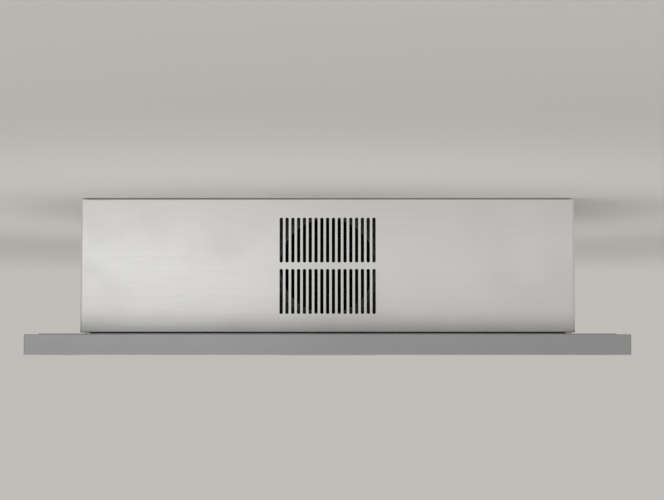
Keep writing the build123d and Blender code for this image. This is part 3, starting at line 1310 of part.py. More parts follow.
for i, name in enumerate(BUTTONS):
    parts[f"button_{name}"] = control_button(i)
parts["scroll_top"] = scroll_top()
parts["scroll_wall"] = scroll_wall()
parts["scroll_inlet_plate"] = scroll_inlet_plate()
parts["impeller"] = impeller()
parts["motor_shaft"] = motor_shaft()
parts["motor_body"] = motor_body()
parts["motor_bracket"] = motor_bracket()
parts["rubber_bushes"] = rubber_bushes()
parts["blower_hangers"] = blower_hangers()
parts["duct_transition"] = duct_transition()
parts["damper_collar"] = damper_collar()
parts["damper_pin"] = damper_pin()
parts["damper_flap_front"] = damper_flap(-1)
parts["damper_flap_rear"] = damper_flap(1)
parts["charcoal_cartridge"] = charcoal_cartridge()
parts["charcoal_pack"] = charcoal_pack()
parts["diverter_box"] = diverter_box()
parts["flow_splitter"] = flow_splitter()
parts["outlet_mouths"] = group(outlet_mouth(side) for side in (-1, 1))
parts["control_box"] = control_box()
parts["control_box_lid"] = control_box_lid()
parts["power_board"] = power_board()
parts["run_capacitor"] = run_capacitor()
parts["cable_gland"] = cable_gland()
parts["motor_cable"] = motor_cable()

os.makedirs("parts", exist_ok=True)
for name, shape in parts.items():
    export_step(shape, f"parts/{name}.step")
print(len(parts), "pieces written")
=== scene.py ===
"""Looks of a ceiling range hood: sheet-metal finishes, slotted panels, baffle filters, lamps and buttons.

Everything is in metres, in the hood's own frame: X to the right, -Y to the front, Z up, and Z = 0 at the
ceiling.
"""

import json
import math

import bmesh
import bpy
import numpy as np
from bpy.props import FloatProperty, FloatVectorProperty, IntProperty, PointerProperty
from bpy.types import Operator, Panel, PropertyGroup
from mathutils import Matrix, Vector


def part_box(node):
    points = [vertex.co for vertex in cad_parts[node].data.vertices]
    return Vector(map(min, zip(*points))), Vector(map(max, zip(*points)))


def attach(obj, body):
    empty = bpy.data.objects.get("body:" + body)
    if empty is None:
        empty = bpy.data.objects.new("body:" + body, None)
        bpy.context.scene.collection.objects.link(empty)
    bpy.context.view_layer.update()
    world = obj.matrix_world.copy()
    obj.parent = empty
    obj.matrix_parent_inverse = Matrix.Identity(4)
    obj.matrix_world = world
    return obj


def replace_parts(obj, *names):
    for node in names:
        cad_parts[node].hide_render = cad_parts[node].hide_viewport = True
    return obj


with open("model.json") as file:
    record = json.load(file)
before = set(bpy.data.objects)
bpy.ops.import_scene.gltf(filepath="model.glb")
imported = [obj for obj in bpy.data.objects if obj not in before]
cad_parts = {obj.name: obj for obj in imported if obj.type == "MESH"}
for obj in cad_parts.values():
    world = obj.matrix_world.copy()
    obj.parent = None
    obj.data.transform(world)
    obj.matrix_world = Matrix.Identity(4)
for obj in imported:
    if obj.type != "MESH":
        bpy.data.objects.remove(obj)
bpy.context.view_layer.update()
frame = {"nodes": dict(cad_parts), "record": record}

bl_info = {
    "name": "Ceiling Range Hood",
    "version": (1, 0, 0),
    "blender": (4, 5, 0),
    "location": "View3D > Sidebar > Range Hood",
    "description": "Sheet-metal surfaces and finishes of a recirculating ceiling hood",
    "category": "Add Mesh",
}

MM = 0.001
PHOTO_WIDTH, PHOTO_HEIGHT = 664, 500
SENSOR_MM = 36.0

BOX_LOW, BOX_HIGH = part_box("front_panel")
PLATE_LOW, PLATE_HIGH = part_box("canopy_frame")
GRILLE_Z = (BOX_LOW.z + BOX_HIGH.z) / 2
FILTERS = ("left", "middle", "right")
BUTTONS = ("off", "slower", "faster", "light", "timer")


# ---- user settings
LENGTH = {"subtype": "DISTANCE", "unit": "LENGTH", "precision": 5}
SHARE = {"subtype": "FACTOR", "max": 1}
POWER = {"unit": "POWER"}


def colour(name, of_what, default):
    """A setting for a colour."""
    return FloatVectorProperty(
        name=name, description=f"Colour of {of_what}", subtype="COLOR", size=3, min=0, max=1,
        default=default,
    )


def number(name, description, default, low=0.0, **kind):
    """A setting for a number, of one of the kinds above or plain."""
    return FloatProperty(name=name, description=description, min=low, default=default, **kind)


class HoodFinish(PropertyGroup):
    """Colours and roughness of the hood's finishes."""

    panel_colour: colour("Panel steel", "the box's satin sheet", (0.80, 0.812, 0.82))
    panel_roughness: number("Panel roughness", "Roughness of the box's satin sheet", 0.40, **SHARE)
    plate_colour: colour("Plate steel", "the canopy plate's darker sheet", (0.438, 0.45, 0.468))
    plate_roughness: number("Plate roughness", "Roughness of the canopy plate", 0.46, **SHARE)
    filter_colour: colour("Filter steel", "the filters' bright sheet", (0.66, 0.66, 0.65))
    zinc_colour: colour("Galvanised sheet", "the chassis, duct and blower sheets", (0.50, 0.52, 0.53))
    plastic_colour: colour("Black plastic", "the control strip and the cartridge", (0.022, 0.022, 0.024))


class HoodDetail(PropertyGroup):
    """Sizes of the surfaces that are modelled here."""

    slot_edge: number("Slot edge", "Rounding of the punched slots' edges", 0.35 * MM, **LENGTH)
    sheet_thickness: number("Sheet thickness", "Thickness of the slotted panels", 1.2 * MM, **LENGTH)
    baffle_bend: number("Baffle bend", "Outer bend radius of the filters' channels", 1.3 * MM, **LENGTH)
    lens_rings: IntProperty(
        name="Lens rings", description="Prism rings in each lamp's lens", min=4, max=40, default=14,
    )
    cap_dish: number("Button dish", "Depth of the hollow in each button cap", 0.45 * MM, **LENGTH)


class HoodStage(PropertyGroup):
    """Camera, ceiling, floor and light."""

    camera_distance: number("Camera distance", "From the rim's front to the camera", 2.88, 0.1, **LENGTH)
    camera_height: number("Camera height", "Height of the camera from the ceiling", -0.2687, -9.0, **LENGTH)
    camera_side: number("Camera offset", "Sideways offset of the camera", 0.0081, -9.0, **LENGTH)
    horizon_row: number("Horizon row", "Row of the photograph at the camera's own height", 343.0)
    focal_pixels: number("Focal length in pixels", "Focal length at the photograph's size", 1601.0)
    backdrop_colour: colour("Backdrop", "what lies behind and is reflected", (0.53, 0.508, 0.478))
    ceiling_colour: colour("Ceiling", "the ceiling", (0.80, 0.796, 0.758))
    ceiling_radius: number("Ceiling radius", "Where the ceiling has faded out", 3.2, 1.0, **LENGTH)
    floor_drop: number("Floor", "Depth of the floor below the ceiling", 4.6, 1.0, **LENGTH)
    sky_strength: number("Sky strength", "Strength of the plain light from all sides", 0.62)
    key_power: number("Key light", "Power of the level strip at the front left", 0.0915, **POWER)
    fill_power: number("Fill light", "Power of the level strip at the front right", 0.031, **POWER)
    under_power: number("Under light", "Power of the soft lamp below and to the left", 26.0, **POWER)
    back_power: number("Back light", "Power of the soft lamp above and behind", 14.0, **POWER)


# ---- mesh tools
MERGE_DISTANCE = 2e-6
SLIVER_LENGTH = 1e-7


def new_object(name, data):
    """An object in the scene."""
    made = bpy.data.objects.new(name, data)
    bpy.context.scene.collection.objects.link(made)
    return made


class Skin:
    """Surfaces, each a grid of points, that together bound one piece."""

    def __init__(self):
        self.points = []
        self.faces = []
        self.count = 0

    def add(self, grid, wrap_columns=True, keep=None):
        """Adds a grid (rows, columns, 3), or a stack of copies of one (copies, rows, columns, 3)."""
        grid = np.asarray(grid, float)
        if grid.ndim == 3:
            grid = grid[None]
        copies, rows, columns = grid.shape[:3]
        index = np.arange(rows * columns).reshape(rows, columns)
        if wrap_columns:
            index = np.hstack([index, index[:, :1]])
        quads = np.stack([index[:-1, :-1], index[1:, :-1], index[1:, 1:], index[:-1, 1:]], axis=-1)
        quads = quads.reshape(-1, 4) if keep is None else quads[keep]
        steps = (np.arange(copies) * rows * columns)[:, None, None] + self.count
        self.faces += (quads[None] + steps).reshape(-1, 4).tolist()
        self.points.append(grid.reshape(-1, 3))
        self.count += copies * rows * columns
        return self

    def add_closed(self, grid):
        """Adds a grid of closed outlines, or a stack of such grids, with a flat face over both ends."""
        copies = len(grid) if grid.ndim == 4 else 1
        rows, around = grid.shape[-3:-1]
        first = self.count + np.arange(copies)[:, None] * rows * around + np.arange(around)
        self.faces += first.tolist() + (first + (rows - 1) * around).tolist()
        return self.add(grid)

    def mesh(self, name):
        """The surfaces as one mesh."""
        made = bpy.data.meshes.new(name)
        made.from_pydata(np.vstack(self.points), [], self.faces)
        return made

    def piece(self, name, slot, body="hood", finish=None, sharp=35.0, outwards=None):
        """Makes the piece: doubles merged, faces outwards, smooth up to the sharp angle, riding on body.

        The finish is the slot's own unless it is named. An open sheet's largest face looks outwards.
        """
        mesh = self.mesh(name)
        shell = bmesh.new()
        shell.from_mesh(mesh)
        bmesh.ops.remove_doubles(shell, verts=shell.verts, dist=MERGE_DISTANCE)
        bmesh.ops.dissolve_degenerate(shell, edges=shell.edges, dist=SLIVER_LENGTH)
        bmesh.ops.recalc_face_normals(shell, faces=shell.faces)
        if outwards is not None:
            shell.normal_update()
            largest = max(shell.faces, key=lambda face: face.calc_area())
            if largest.normal.dot(outwards) < 0:
                bmesh.ops.reverse_faces(shell, faces=shell.faces)
        shell.to_mesh(mesh)
        shell.free()
        mesh.shade_smooth()
        mesh.set_sharp_from_angle(angle=math.radians(sharp))
        mesh.materials.append(finish_named(finish or slot))
        piece = new_object(name, mesh)
        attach(piece, body)
        return piece


def moved(grid, places):
    """Copies of a grid at places (copies, 3)."""
    return np.asarray(grid)[None] + np.asarray(places, float)[:, None, None, :]


def turned(radius, height, around=32, centre=(0.0, 0.0, 0.0)):
    """Surface of revolution about +Z: (r cos a, r sin a, h) for a profile r(t), h(t)."""
    a = np.linspace(0, 2 * np.pi, around, endpoint=False)
    r, h = np.asarray(radius, float)[:, None], np.asarray(height, float)[:, None]
    grid = np.stack([r * np.cos(a), r * np.sin(a), h + 0 * a], axis=-1)
    return grid + np.asarray(centre, float)


def rounded_path(corners, radius, steps=6, closed=False):
    """Flat path whose corners are arcs: each arc starts radius * tan(turn / 2) before its corner."""
    corners = np.asarray(corners, float)
    path = []
    for i, corner in enumerate(corners):
        if not closed and i in (0, len(corners) - 1):
            path.append(corner[None])
            continue
        before = corners[i - 1] - corner
        after = corners[(i + 1) % len(corners)] - corner
        before, after = before / np.linalg.norm(before), after / np.linalg.norm(after)
        turn = np.pi - np.arccos(np.clip(before @ after, -1, 1))
        middle = before + after
        middle = middle / np.linalg.norm(middle)
        centre = corner + middle * math.hypot(radius, radius * math.tan(turn / 2))
        t = np.linspace(-turn / 2, turn / 2, steps + 1)[:, None]
        across = (after - before) / np.linalg.norm(after - before)
        path.append(centre + radius * (np.sin(t) * across - np.cos(t) * middle))
    return np.vstack(path)


def rounded_box(half_a, half_b, radius, steps):
    """Closed flat outline of a rectangle with round corners, about its middle."""
    corners = np.array([(-1, -1), (1, -1), (1, 1), (-1, 1)]) * (half_a, half_b)
    return rounded_path(corners, radius, steps, closed=True)


def along(axis, outline, start, end):
    """A flat outline carried along an axis (0 for X, 1 for Y, 2 for Z) from start to end."""
    return np.stack([np.insert(outline, axis, place, axis=1) for place in (start, end)])


def raised(outline, heights, sizes):
    """A flat (x, y) outline at each of the heights, scaled by that height's size."""
    return np.stack([np.insert(outline * size, 2, height, axis=1) for height, size in zip(heights, sizes)])


# ---- node building
def opaque(colour, factor=1.0):
    """Colour with an alpha of 1, brightened or darkened by factor."""
    return tuple(min(1.0, c * factor) for c in colour) + (1.0,)


def shades(colour, dark, light):
    """A darker and a lighter shade of a colour."""
    return opaque(colour, dark), opaque(colour, light)


class Graph:
    """Shader nodes of one tree."""

    def __init__(self, tree):
        self.tree = tree

    def feed(self, socket, value):
        """Links an output to a socket, or sets the socket's value."""
        if isinstance(value, bpy.types.NodeSocket):
            self.tree.links.new(value, socket)
        else:
            socket.default_value = value

    def node(self, kind, inputs=None, **settings):
        """A shader node with its settings made and its sockets set or linked."""
        made = self.tree.nodes.new("ShaderNode" + kind)
        for key, value in settings.items():
            setattr(made, key, value)
        for key, value in (inputs or {}).items():
            self.feed(made.inputs[key], value)
        return made

    def ramp(self, value, low, high, to_low=0.0, to_high=1.0):
        """Smooth step of value from low..high to to_low..to_high."""
        return self.node(
            "MapRange",
            {"Value": value, "From Min": low, "From Max": high, "To Min": to_low, "To Max": to_high},
            interpolation_type="SMOOTHSTEP",
        ).outputs["Result"]

    def maths(self, operation, a, b=0.0, clamp=False):
        """One step of arithmetic."""
        return self.node("Math", {0: a, 1: b}, operation=operation, use_clamp=clamp).outputs[0]

    def plus(self, a, b):
        """Sum of two values."""
        return self.maths("ADD", a, b)

    def minus(self, a, b, clamp=False):
        """Difference of two values."""
        return self.maths("SUBTRACT", a, b, clamp)

    def times(self, a, b, clamp=False):
        """Product of two values."""
        return self.maths("MULTIPLY", a, b, clamp)

    def vector(self, operation, a, b=(0.0, 0.0, 0.0)):
        """One step of vector arithmetic."""
        return self.node("VectorMath", {0: a, 1: b}, operation=operation).outputs[0]

    def length(self, vector):
        """Length of a vector."""
        return self.node("VectorMath", {0: vector}, operation="LENGTH").outputs["Value"]

    def parts(self, vector):
        """X, Y and Z of a vector."""
        return self.node("SeparateXYZ", {0: vector}).outputs

    def noise(self, place, scale, detail=2.0, roughness=0.5, distortion=0.0):
        """Smooth noise about 0.5."""
        return self.node("TexNoise", {
            "Vector": place, "Scale": scale, "Detail": detail, "Roughness": roughness,
            "Distortion": distortion,
        }).outputs[0]

    def blend(self, factor, a, b):
        """Mix of two colours, a where factor is 0."""
        made = self.node("Mix", data_type="RGBA")
        for index, value in ((0, factor), (6, a), (7, b)):
            self.feed(made.inputs[index], value)
        return made.outputs[2]

    def cover(self, colour, mask, share, over):
        """The colour, covered by a share of another one where mask is 1."""
        return self.blend(self.times(mask, share), colour, over)

    def effect(self, name, place, **settings):
        """Places a shared effect, with this material's own values."""
        group = bpy.data.node_groups.get(name) or effect_group(name)
        return self.node("Group", {"Coordinate": place, **settings}, node_tree=group).outputs


# ---- shared effects
def brushed_grain(graph, place, stretch):
    """Fine scratches, long one way: two noises on a stretched coordinate."""
    mapped = graph.vector("MULTIPLY", place, stretch)
    coarse = graph.noise(mapped, 0.22, 3.0, 0.6)
    fine = graph.noise(mapped, 1.0)
    mixed = graph.plus(graph.times(coarse, 0.5), graph.times(fine, 0.5))
    return graph.ramp(mixed, 0.3, 0.7), fine


def handling_marks(graph, place, scale):
    """Broad soft clouds with a few streaks, as wiping and hands leave them."""
    return [graph.ramp(graph.noise(place, scale, 5.0, 0.55, 0.6), 0.38, 0.68)]


def painted_low_shade(graph, place, base, reach):
    """Painted shade that thins out upwards, broken by noise: (1 - height above the base / reach) ^ 1.7."""
    above = graph.maths("DIVIDE", graph.minus(graph.parts(place)["Z"], base), reach)
    above = graph.times(above, graph.ramp(graph.noise(place, 6.0, 3.0, 0.6), 0.3, 0.7, 0.92, 1.08))
    return [graph.maths("POWER", graph.minus(1.0, above, True), 1.7)]


def settled_dust(graph, place, amount):
    """Dust on faces that look up: the normal's Z, broken by noise."""
    normal = graph.node("NewGeometry").outputs["Normal"]
    facing = graph.ramp(graph.parts(normal)["Z"], 0.55, 0.98)
    patchy = graph.ramp(graph.noise(place, 18.0, 6.0, 0.65), 0.3, 0.75, 0.75, 1.0)
    return [graph.times(graph.times(facing, patchy), amount, True)]


def edge_rub(graph, place, centre, half_size, width):
    """Rubbed edges of a box-shaped piece: 1 where two of the three distances to its sides are small."""
    offset = graph.vector("ABSOLUTE", graph.vector("SUBTRACT", place, centre))
    x, y, z = graph.parts(graph.vector("SUBTRACT", half_size, offset))
    larger = graph.maths("MAXIMUM", x, y)
    middle = graph.maths("MAXIMUM", graph.maths("MINIMUM", x, y), graph.maths("MINIMUM", larger, z))
    reach = graph.times(width, graph.ramp(graph.noise(place, 60.0, 4.0, 0.6), 0.3, 0.7, 0.4, 1.6))
    return [graph.ramp(graph.maths("DIVIDE", middle, reach), 0.2, 1.0, 1.0, 0.0)]


def spangle(graph, place, scale):
    """Crystals of a hot-dipped zinc coat: a shade for each cell, and the cells' rims."""
    warp = graph.node("TexNoise", {"Vector": place, "Scale": 45.0, "Detail": 2.0}).outputs["Color"]
    bent = graph.vector("ADD", place, graph.vector("MULTIPLY", warp, (0.012, 0.012, 0.012)))
    cells = graph.node("TexVoronoi", {"Vector": bent, "Scale": scale})
    rims = graph.node("TexVoronoi", {"Vector": bent, "Scale": scale}, feature="DISTANCE_TO_EDGE")
    shade = graph.node("SeparateColor", {0: cells.outputs["Color"]}).outputs[0]
    return shade, graph.ramp(rims.outputs["Distance"], 0.0, 0.12, 1.0, 0.0)


def moulded_grain(graph, place, scale):
    """Fine pebbled grain of a moulding: small cells under a broader noise."""
    cells = graph.node("TexVoronoi", {"Vector": place, "Scale": scale})
    return cells.outputs["Distance"], graph.noise(place, 40.0, 4.0)


EFFECTS = {
    "brushed_grain": (brushed_grain, {"Stretch": (1.0, 1.0, 1.0)}, ("Shade", "Height")),
    "handling_marks": (handling_marks, {"Scale": 6.0}, ("Mask",)),
    "settled_dust": (settled_dust, {"Amount": 0.5}, ("Mask",)),
    "painted_low_shade": (painted_low_shade, {"Base": 0.0, "Reach": 0.03}, ("Mask",)),
    "edge_rub": (edge_rub, {"Centre": (0.0, 0.0, 0.0), "Half_size": (1.0, 1.0, 1.0), "Width": 0.002},
                 ("Mask",)),
    "spangle": (spangle, {"Scale": 90.0}, ("Shade", "Rim")),
    "moulded_grain": (moulded_grain, {"Scale": 1400.0}, ("Height", "Shade")),
}


def effect_group(name):
    """Node group of a shared effect: a coordinate and settings in, masks, shades or heights out."""
    build, settings, results = EFFECTS[name]
    tree = bpy.data.node_groups.new(name, "ShaderNodeTree")
    tree.interface.new_socket("Coordinate", in_out="INPUT", socket_type="NodeSocketVector")
    for label, default in settings.items():
        kind = "Float" if isinstance(default, float) else "Vector"
        socket = tree.interface.new_socket(label, in_out="INPUT", socket_type="NodeSocket" + kind)
        socket.default_value = default
    for label in results:
        tree.interface.new_socket(label, in_out="OUTPUT", socket_type="NodeSocketFloat")
    given = tree.nodes.new("NodeGroupInput").outputs
    out = tree.nodes.new("NodeGroupOutput").inputs
    made = build(Graph(tree), given["Coordinate"], *[given[label] for label in settings])
    for label, value in zip(results, made):
        tree.links.new(value, out[label])
    return tree


# ---- finishes
PALE_DUST = (0.34, 0.32, 0.29, 1.0)
# Dark tone for faces that look up on the plate: partly dust, partly painted shade.
DARK_DUST_AND_SHADE = (0.20, 0.19, 0.17, 1.0)
LEVEL_GRAIN = (22.0, 22.0, 1700.0)
FRONT_TO_BACK_GRAIN = (1500.0, 20.0, 1500.0)
EVEN_GRAIN = (900.0, 900.0, 900.0)
RUB_WIDTH = 1.6 * MM
LOW_SHADE_REACH = 45.0 * MM
LAMP_AXIS_INSET = 27.0 * MM
GROOVES_PER_METRE = 2600.0


class Finish(Graph):
    """One material being built, with its shader's sockets and the object's own coordinates."""

    def __init__(self, name, **sockets):
        self.material = bpy.data.materials.new(f"{name}_finish")
        self.material.use_nodes = True
        super().__init__(self.material.node_tree)
        self.shader = self.tree.nodes["Principled BSDF"].inputs
        for label, value in sockets.items():
            self.shader[label.replace("_", " ")].default_value = value
        self.place = self.node("TexCoord").outputs["Object"]

    def surface(self, colour, roughness):
        """Feeds the colour and the roughness."""
        self.feed(self.shader["Base Color"], colour)
        self.feed(self.shader["Roughness"], roughness)

    def bump(self, height, strength, distance, under=None):
        """Feeds the normal with a bump from a height, over the bump that lies under it."""
        made = self.node("Bump", {"Height": height, "Strength": strength, "Distance": distance})
        if under is not None:
            self.feed(made.inputs["Normal"], under)
        self.feed(self.shader["Normal"], made.outputs[0])
        return made.outputs[0]

    def settle_dust(self, colour, amount, dust=PALE_DUST):
        """The colour, covered by dust or grease where faces look up, and the mask; the plate's dark cover is
        partly painted shade.
        """
        mask = self.effect("settled_dust", self.place, Amount=amount)["Mask"]
        return self.blend(mask, colour, dust), mask


def finish_named(name):
    """A finish that make_finishes has made."""
    return bpy.data.materials[f"{name}_finish"]


def satin_sheet(name, colour, roughness, stretch, box=None, waviness=0.0, dust=0.25,
                dust_and_shade_colour=PALE_DUST, shade_base_height=None):
    """Brushed stainless sheet: grain along one axis, soft marks, and rubbed edges and a painted low shade if
    given.
    """
    finish = Finish(name, Metallic=1.0)
    place = finish.place
    grain = finish.effect("brushed_grain", place, Stretch=stretch)
    marks = finish.effect("handling_marks", place, Scale=5.0)["Mask"]
    tone = finish.blend(grain["Shade"], *shades(colour, 0.965, 1.03))
    tone = finish.cover(tone, marks, 0.35, opaque(colour, 0.93))
    rough = finish.ramp(grain["Shade"], 0.0, 1.0, roughness - 0.035, roughness + 0.035)
    rough = finish.plus(rough, finish.times(marks, 0.05))
    if box is not None:
        low, high = box
        rub = finish.effect(
            "edge_rub", place, Centre=(low + high) / 2, Half_size=(high - low) / 2, Width=RUB_WIDTH,
        )["Mask"]
        tone = finish.cover(tone, rub, 0.5, opaque(colour, 1.15))
        rough = finish.minus(rough, finish.times(rub, 0.10))
    # Painted shade: the colour darkens towards the given base height, over the reach above it.
    if shade_base_height is not None:
        low_shade_mask = finish.effect("painted_low_shade", place, Base=shade_base_height, Reach=LOW_SHADE_REACH)["Mask"]
        tone = finish.cover(tone, low_shade_mask, 0.6, opaque(colour, 0.4))
    tone, mask = finish.settle_dust(tone, dust, dust_and_shade_colour)
    finish.surface(tone, finish.plus(rough, finish.times(mask, 0.35)))
    fine = finish.bump(grain["Height"], 0.05, 0.1 * MM)
    if waviness:
        finish.bump(finish.noise(place, 3.2, 1.0), 1.0, waviness, under=fine)


def galvanised_sheet(name, colour):
    """Hot-dipped zinc: crystals of slightly different shade and gloss, dulled where dust lies."""
    finish = Finish(name, Metallic=1.0)
    crystals = finish.effect("spangle", finish.place, Scale=95.0)
    tone = finish.blend(crystals["Shade"], *shades(colour, 0.78, 1.12))
    tone = finish.cover(tone, crystals["Rim"], 0.3, opaque(colour, 1.2))
    stains = finish.effect("handling_marks", finish.place, Scale=7.0)["Mask"]
    tone = finish.cover(tone, stains, 0.2, opaque(colour, 0.72))
    tone, mask = finish.settle_dust(tone, 0.14)
    rough = finish.ramp(crystals["Shade"], 0.0, 1.0, 0.34, 0.52)
    finish.surface(tone, finish.plus(rough, finish.times(mask, 0.3)))
    finish.bump(crystals["Shade"], 0.08, 0.15 * MM)


def plated_steel(name, colour, roughness):
    """Electroplated or drawn steel: faint cloudy stains and fine scratches."""
    finish = Finish(name, Metallic=1.0)
    marks = finish.effect("handling_marks", finish.place, Scale=80.0)["Mask"]
    grain = finish.effect("brushed_grain", finish.place, Stretch=EVEN_GRAIN)
    rough = finish.ramp(grain["Shade"], 0.0, 1.0, roughness - 0.06, roughness + 0.06)
    rough = finish.plus(rough, finish.times(marks, 0.08))
    finish.surface(finish.blend(marks, opaque(colour, 1.06), opaque(colour, 0.82)), rough)
    finish.bump(grain["Height"], 0.06, 0.1 * MM)


def turned_aluminium(name, colour):
    """Turned and anodised lamp ring: grooves round each lamp's own axis, four lamps folded into one."""
    finish = Finish(name, Metallic=1.0)
    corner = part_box("lamp_lenses")[1]
    axis = (corner.x - LAMP_AXIS_INSET, corner.y - LAMP_AXIS_INSET, 0.0)
    local = finish.vector("SUBTRACT", finish.vector("ABSOLUTE", finish.place), axis)
    distance = finish.length(finish.vector("MULTIPLY", local, (1.0, 1.0, 0.0)))
    grooves = finish.node(
        "TexNoise", {"W": finish.times(distance, GROOVES_PER_METRE), "Scale": 1.0, "Detail": 2.0},
        noise_dimensions="1D",
    ).outputs[0]
    finish.surface(
        finish.blend(grooves, *shades(colour, 0.86, 1.08)), finish.ramp(grooves, 0.2, 0.8, 0.24, 0.36),
    )
    finish.bump(grooves, 0.12, 0.08 * MM)


def moulded_plastic(name, colour, roughness, scale=1400.0, depth=0.05):
    """Injection-moulded plastic with a fine grain and a little uneven tone."""
    finish = Finish(name)
    grain = finish.effect("moulded_grain", finish.place, Scale=scale)
    tone, mask = finish.settle_dust(finish.blend(grain["Shade"], *shades(colour, 0.85, 1.25)), 0.3)
    rough = finish.ramp(grain["Shade"], 0.3, 0.7, roughness - 0.05, roughness + 0.05)
    finish.surface(tone, finish.plus(rough, finish.times(mask, 0.2)))
    finish.bump(grain["Height"], 0.25, depth * MM)


def mottled(name, scale, tones, roughness, depth=0.0, detail=2.0, **sockets):
    """Paint, etched glass or ink: tone, gloss and relief all follow one fine noise."""
    finish = Finish(name, **sockets)
    specks = finish.noise(finish.place, scale, detail)
    finish.surface(finish.blend(specks, *tones), finish.ramp(specks, 0.3, 0.7, *roughness))
    if depth:
        finish.bump(specks, 0.2, depth * MM)


def charcoal_granules(name, colour):
    """Matt black granules with a few glinting faces."""
    finish = Finish(name)
    cells = finish.node("TexVoronoi", {"Vector": finish.place, "Scale": 420.0}).outputs
    shade = finish.node("SeparateColor", {0: cells["Color"]}).outputs[0]
    finish.surface(finish.blend(shade, *shades(colour, 0.5, 2.2)), finish.ramp(shade, 0.75, 1.0, 0.85, 0.4))
    finish.bump(cells["Distance"], 0.8, 0.8 * MM)


def circuit_board(name, colour):
    """Solder mask with paler tracks between bricks, and tinned pads in a scatter of cells."""
    finish = Finish(name, Coat_Weight=0.25)
    bricks = finish.node("TexBrick", {
        "Vector": finish.place, "Scale": 130.0, "Mortar Size": 0.03, "Color1": opaque(colour),
        "Color2": opaque(colour, 1.35), "Mortar": opaque(colour, 1.9),
    })
    dots = finish.node("TexVoronoi", {"Vector": finish.place, "Scale": 190.0})
    pads = finish.ramp(dots.outputs["Distance"], 0.16, 0.2, 1.0, 0.0)
    tone = finish.blend(pads, bricks.outputs["Color"], (0.62, 0.60, 0.56, 1.0))
    finish.surface(tone, finish.ramp(pads, 0.0, 1.0, 0.42, 0.3))
    finish.feed(finish.shader["Metallic"], pads)


def make_finishes(settings):
    """Makes every finish of the hood, by the record's slot names, and the extra ones of small pieces."""
    half_depth = max(abs(BOX_LOW.y), abs(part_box("rear_panel")[1].y))
    box_size = (
        Vector((BOX_LOW.x, -half_depth, BOX_LOW.z)), Vector((BOX_HIGH.x, half_depth, BOX_HIGH.z)),
    )
    # The box's sheet gets a painted shade that darkens it towards its lower edge, next to the plate.
    satin_sheet(
        "panel_steel", settings.panel_colour, settings.panel_roughness, LEVEL_GRAIN, box_size, 0.12 * MM,
        shade_base_height=BOX_LOW.z,
    )
    # The plate's upward faces get a dark cover, partly dust and partly painted shade under the box.
    satin_sheet(
        "plate_steel", settings.plate_colour, settings.plate_roughness, LEVEL_GRAIN,
        (PLATE_LOW, PLATE_HIGH), 0.15 * MM, 0.35, DARK_DUST_AND_SHADE,
    )
    satin_sheet("filter_steel", settings.filter_colour, 0.30, FRONT_TO_BACK_GRAIN)
    galvanised_sheet("galvanised", settings.zinc_colour)
    plated_steel("zinc_steel", (0.56, 0.56, 0.53), 0.32)
    plated_steel("spring_steel", (0.40, 0.40, 0.41), 0.28)
    plated_steel("wire_chrome", (0.78, 0.78, 0.78), 0.14)
    plated_steel("capacitor_can", (0.58, 0.58, 0.59), 0.36)
    turned_aluminium("cast_aluminium", (0.66, 0.67, 0.68))
    moulded_plastic("black_plastic", settings.plastic_colour, 0.46)
    moulded_plastic("button_plastic", (0.085, 0.085, 0.09), 0.38, 2200.0, 0.03)
    moulded_plastic("grey_plastic", (0.24, 0.24, 0.25), 0.5)
    moulded_plastic("bush_rubber", (0.022, 0.022, 0.022), 0.72, 900.0)
    moulded_plastic("cable_jacket", (0.045, 0.045, 0.047), 0.55, 1800.0, 0.03)
    moulded_plastic("smoked_plastic", (0.03, 0.012, 0.012), 0.14, 3000.0, 0.01)
    moulded_plastic("green_lens", (0.05, 0.30, 0.09), 0.22, 3000.0, 0.01)
    moulded_plastic("lamp_chip", (0.80, 0.62, 0.12), 0.35, 2600.0, 0.02)
    mottled(
        "motor_paint", 420.0, shades((0.03, 0.03, 0.032), 0.8, 1.3), (0.32, 0.42), 0.1,
        Coat_Weight=0.3, Coat_Roughness=0.2,
    )
    mottled("black_paint", 420.0, shades((0.012, 0.012, 0.0125), 0.8, 1.3), (0.67, 0.77), 0.1)
    mottled(
        "frosted_glass", 2400.0, ((0.86, 0.86, 0.83, 1.0), (0.95, 0.95, 0.93, 1.0)), (0.36, 0.50), 0.05,
        Transmission_Weight=0.75, IOR=1.49,
    )
    mottled("white_print", 900.0, shades((0.78, 0.78, 0.76), 0.86, 1.05), (0.5, 0.62), detail=3.0)
    charcoal_granules("charcoal", (0.018, 0.018, 0.018))
    circuit_board("circuit_board", (0.02, 0.12, 0.05))


# ---- the box's panels
SLOT_COLUMNS = 17
SLOT_PITCH = 10.76 * MM
SLOT_HALF_WIDTH = 3.1 * MM
SLOT_LENGTH = 83.5 * MM
SLOT_CORNER = 2.6 * MM
BANK_GAP = 11.9 * MM
END_STEPS = 8
SIDE_STEPS = 6
RINGS_TO_BORDER = (0.0, 0.45, 1.0)
BEND_UPRIGHT = 4.0 * MM
BEND_LEVEL = 1.6 * MM
BEND_MARGIN = 0.3 * MM
BEND_STEPS = 7
COLUMNS_TO_BEND, ROWS_TO_BEND = 8, 3
RETURN_DEPTH = 20.0 * MM
HEM_DEPTH = 11.5 * MM
ROLLED_FROM_DEGREES = 50.0
ALMOST = 0.999


def bent_profile(half, bend, depth, inner):
    """Half profile from the face's middle outwards: flat, quarter bend, then straight back to depth.

    Returns the distance from the middle and the setback from the face, for t from 0 to the free edge.
    """
    t = np.linspace(0, np.pi / 2, BEND_STEPS + 1)
    inner = np.append(inner, half - bend - BEND_MARGIN)
    out = np.concatenate([inner, half - bend + bend * np.sin(t), [half, half]])
    back = np.concatenate([0 * inner, bend * (1 - np.cos(t)), [bend + BEND_MARGIN, depth]])
    return out, back


def half_turned(end_x, end_z, side_x, side_z):
    """Closed outline from its lower end and its right side, with both again turned by half a turn."""
    pairs = ((end_x, end_z), (side_x, side_z))
    half = np.vstack([np.column_stack(np.broadcast_arrays(*pair)) for pair in pairs])
    return np.vstack([half, -half])


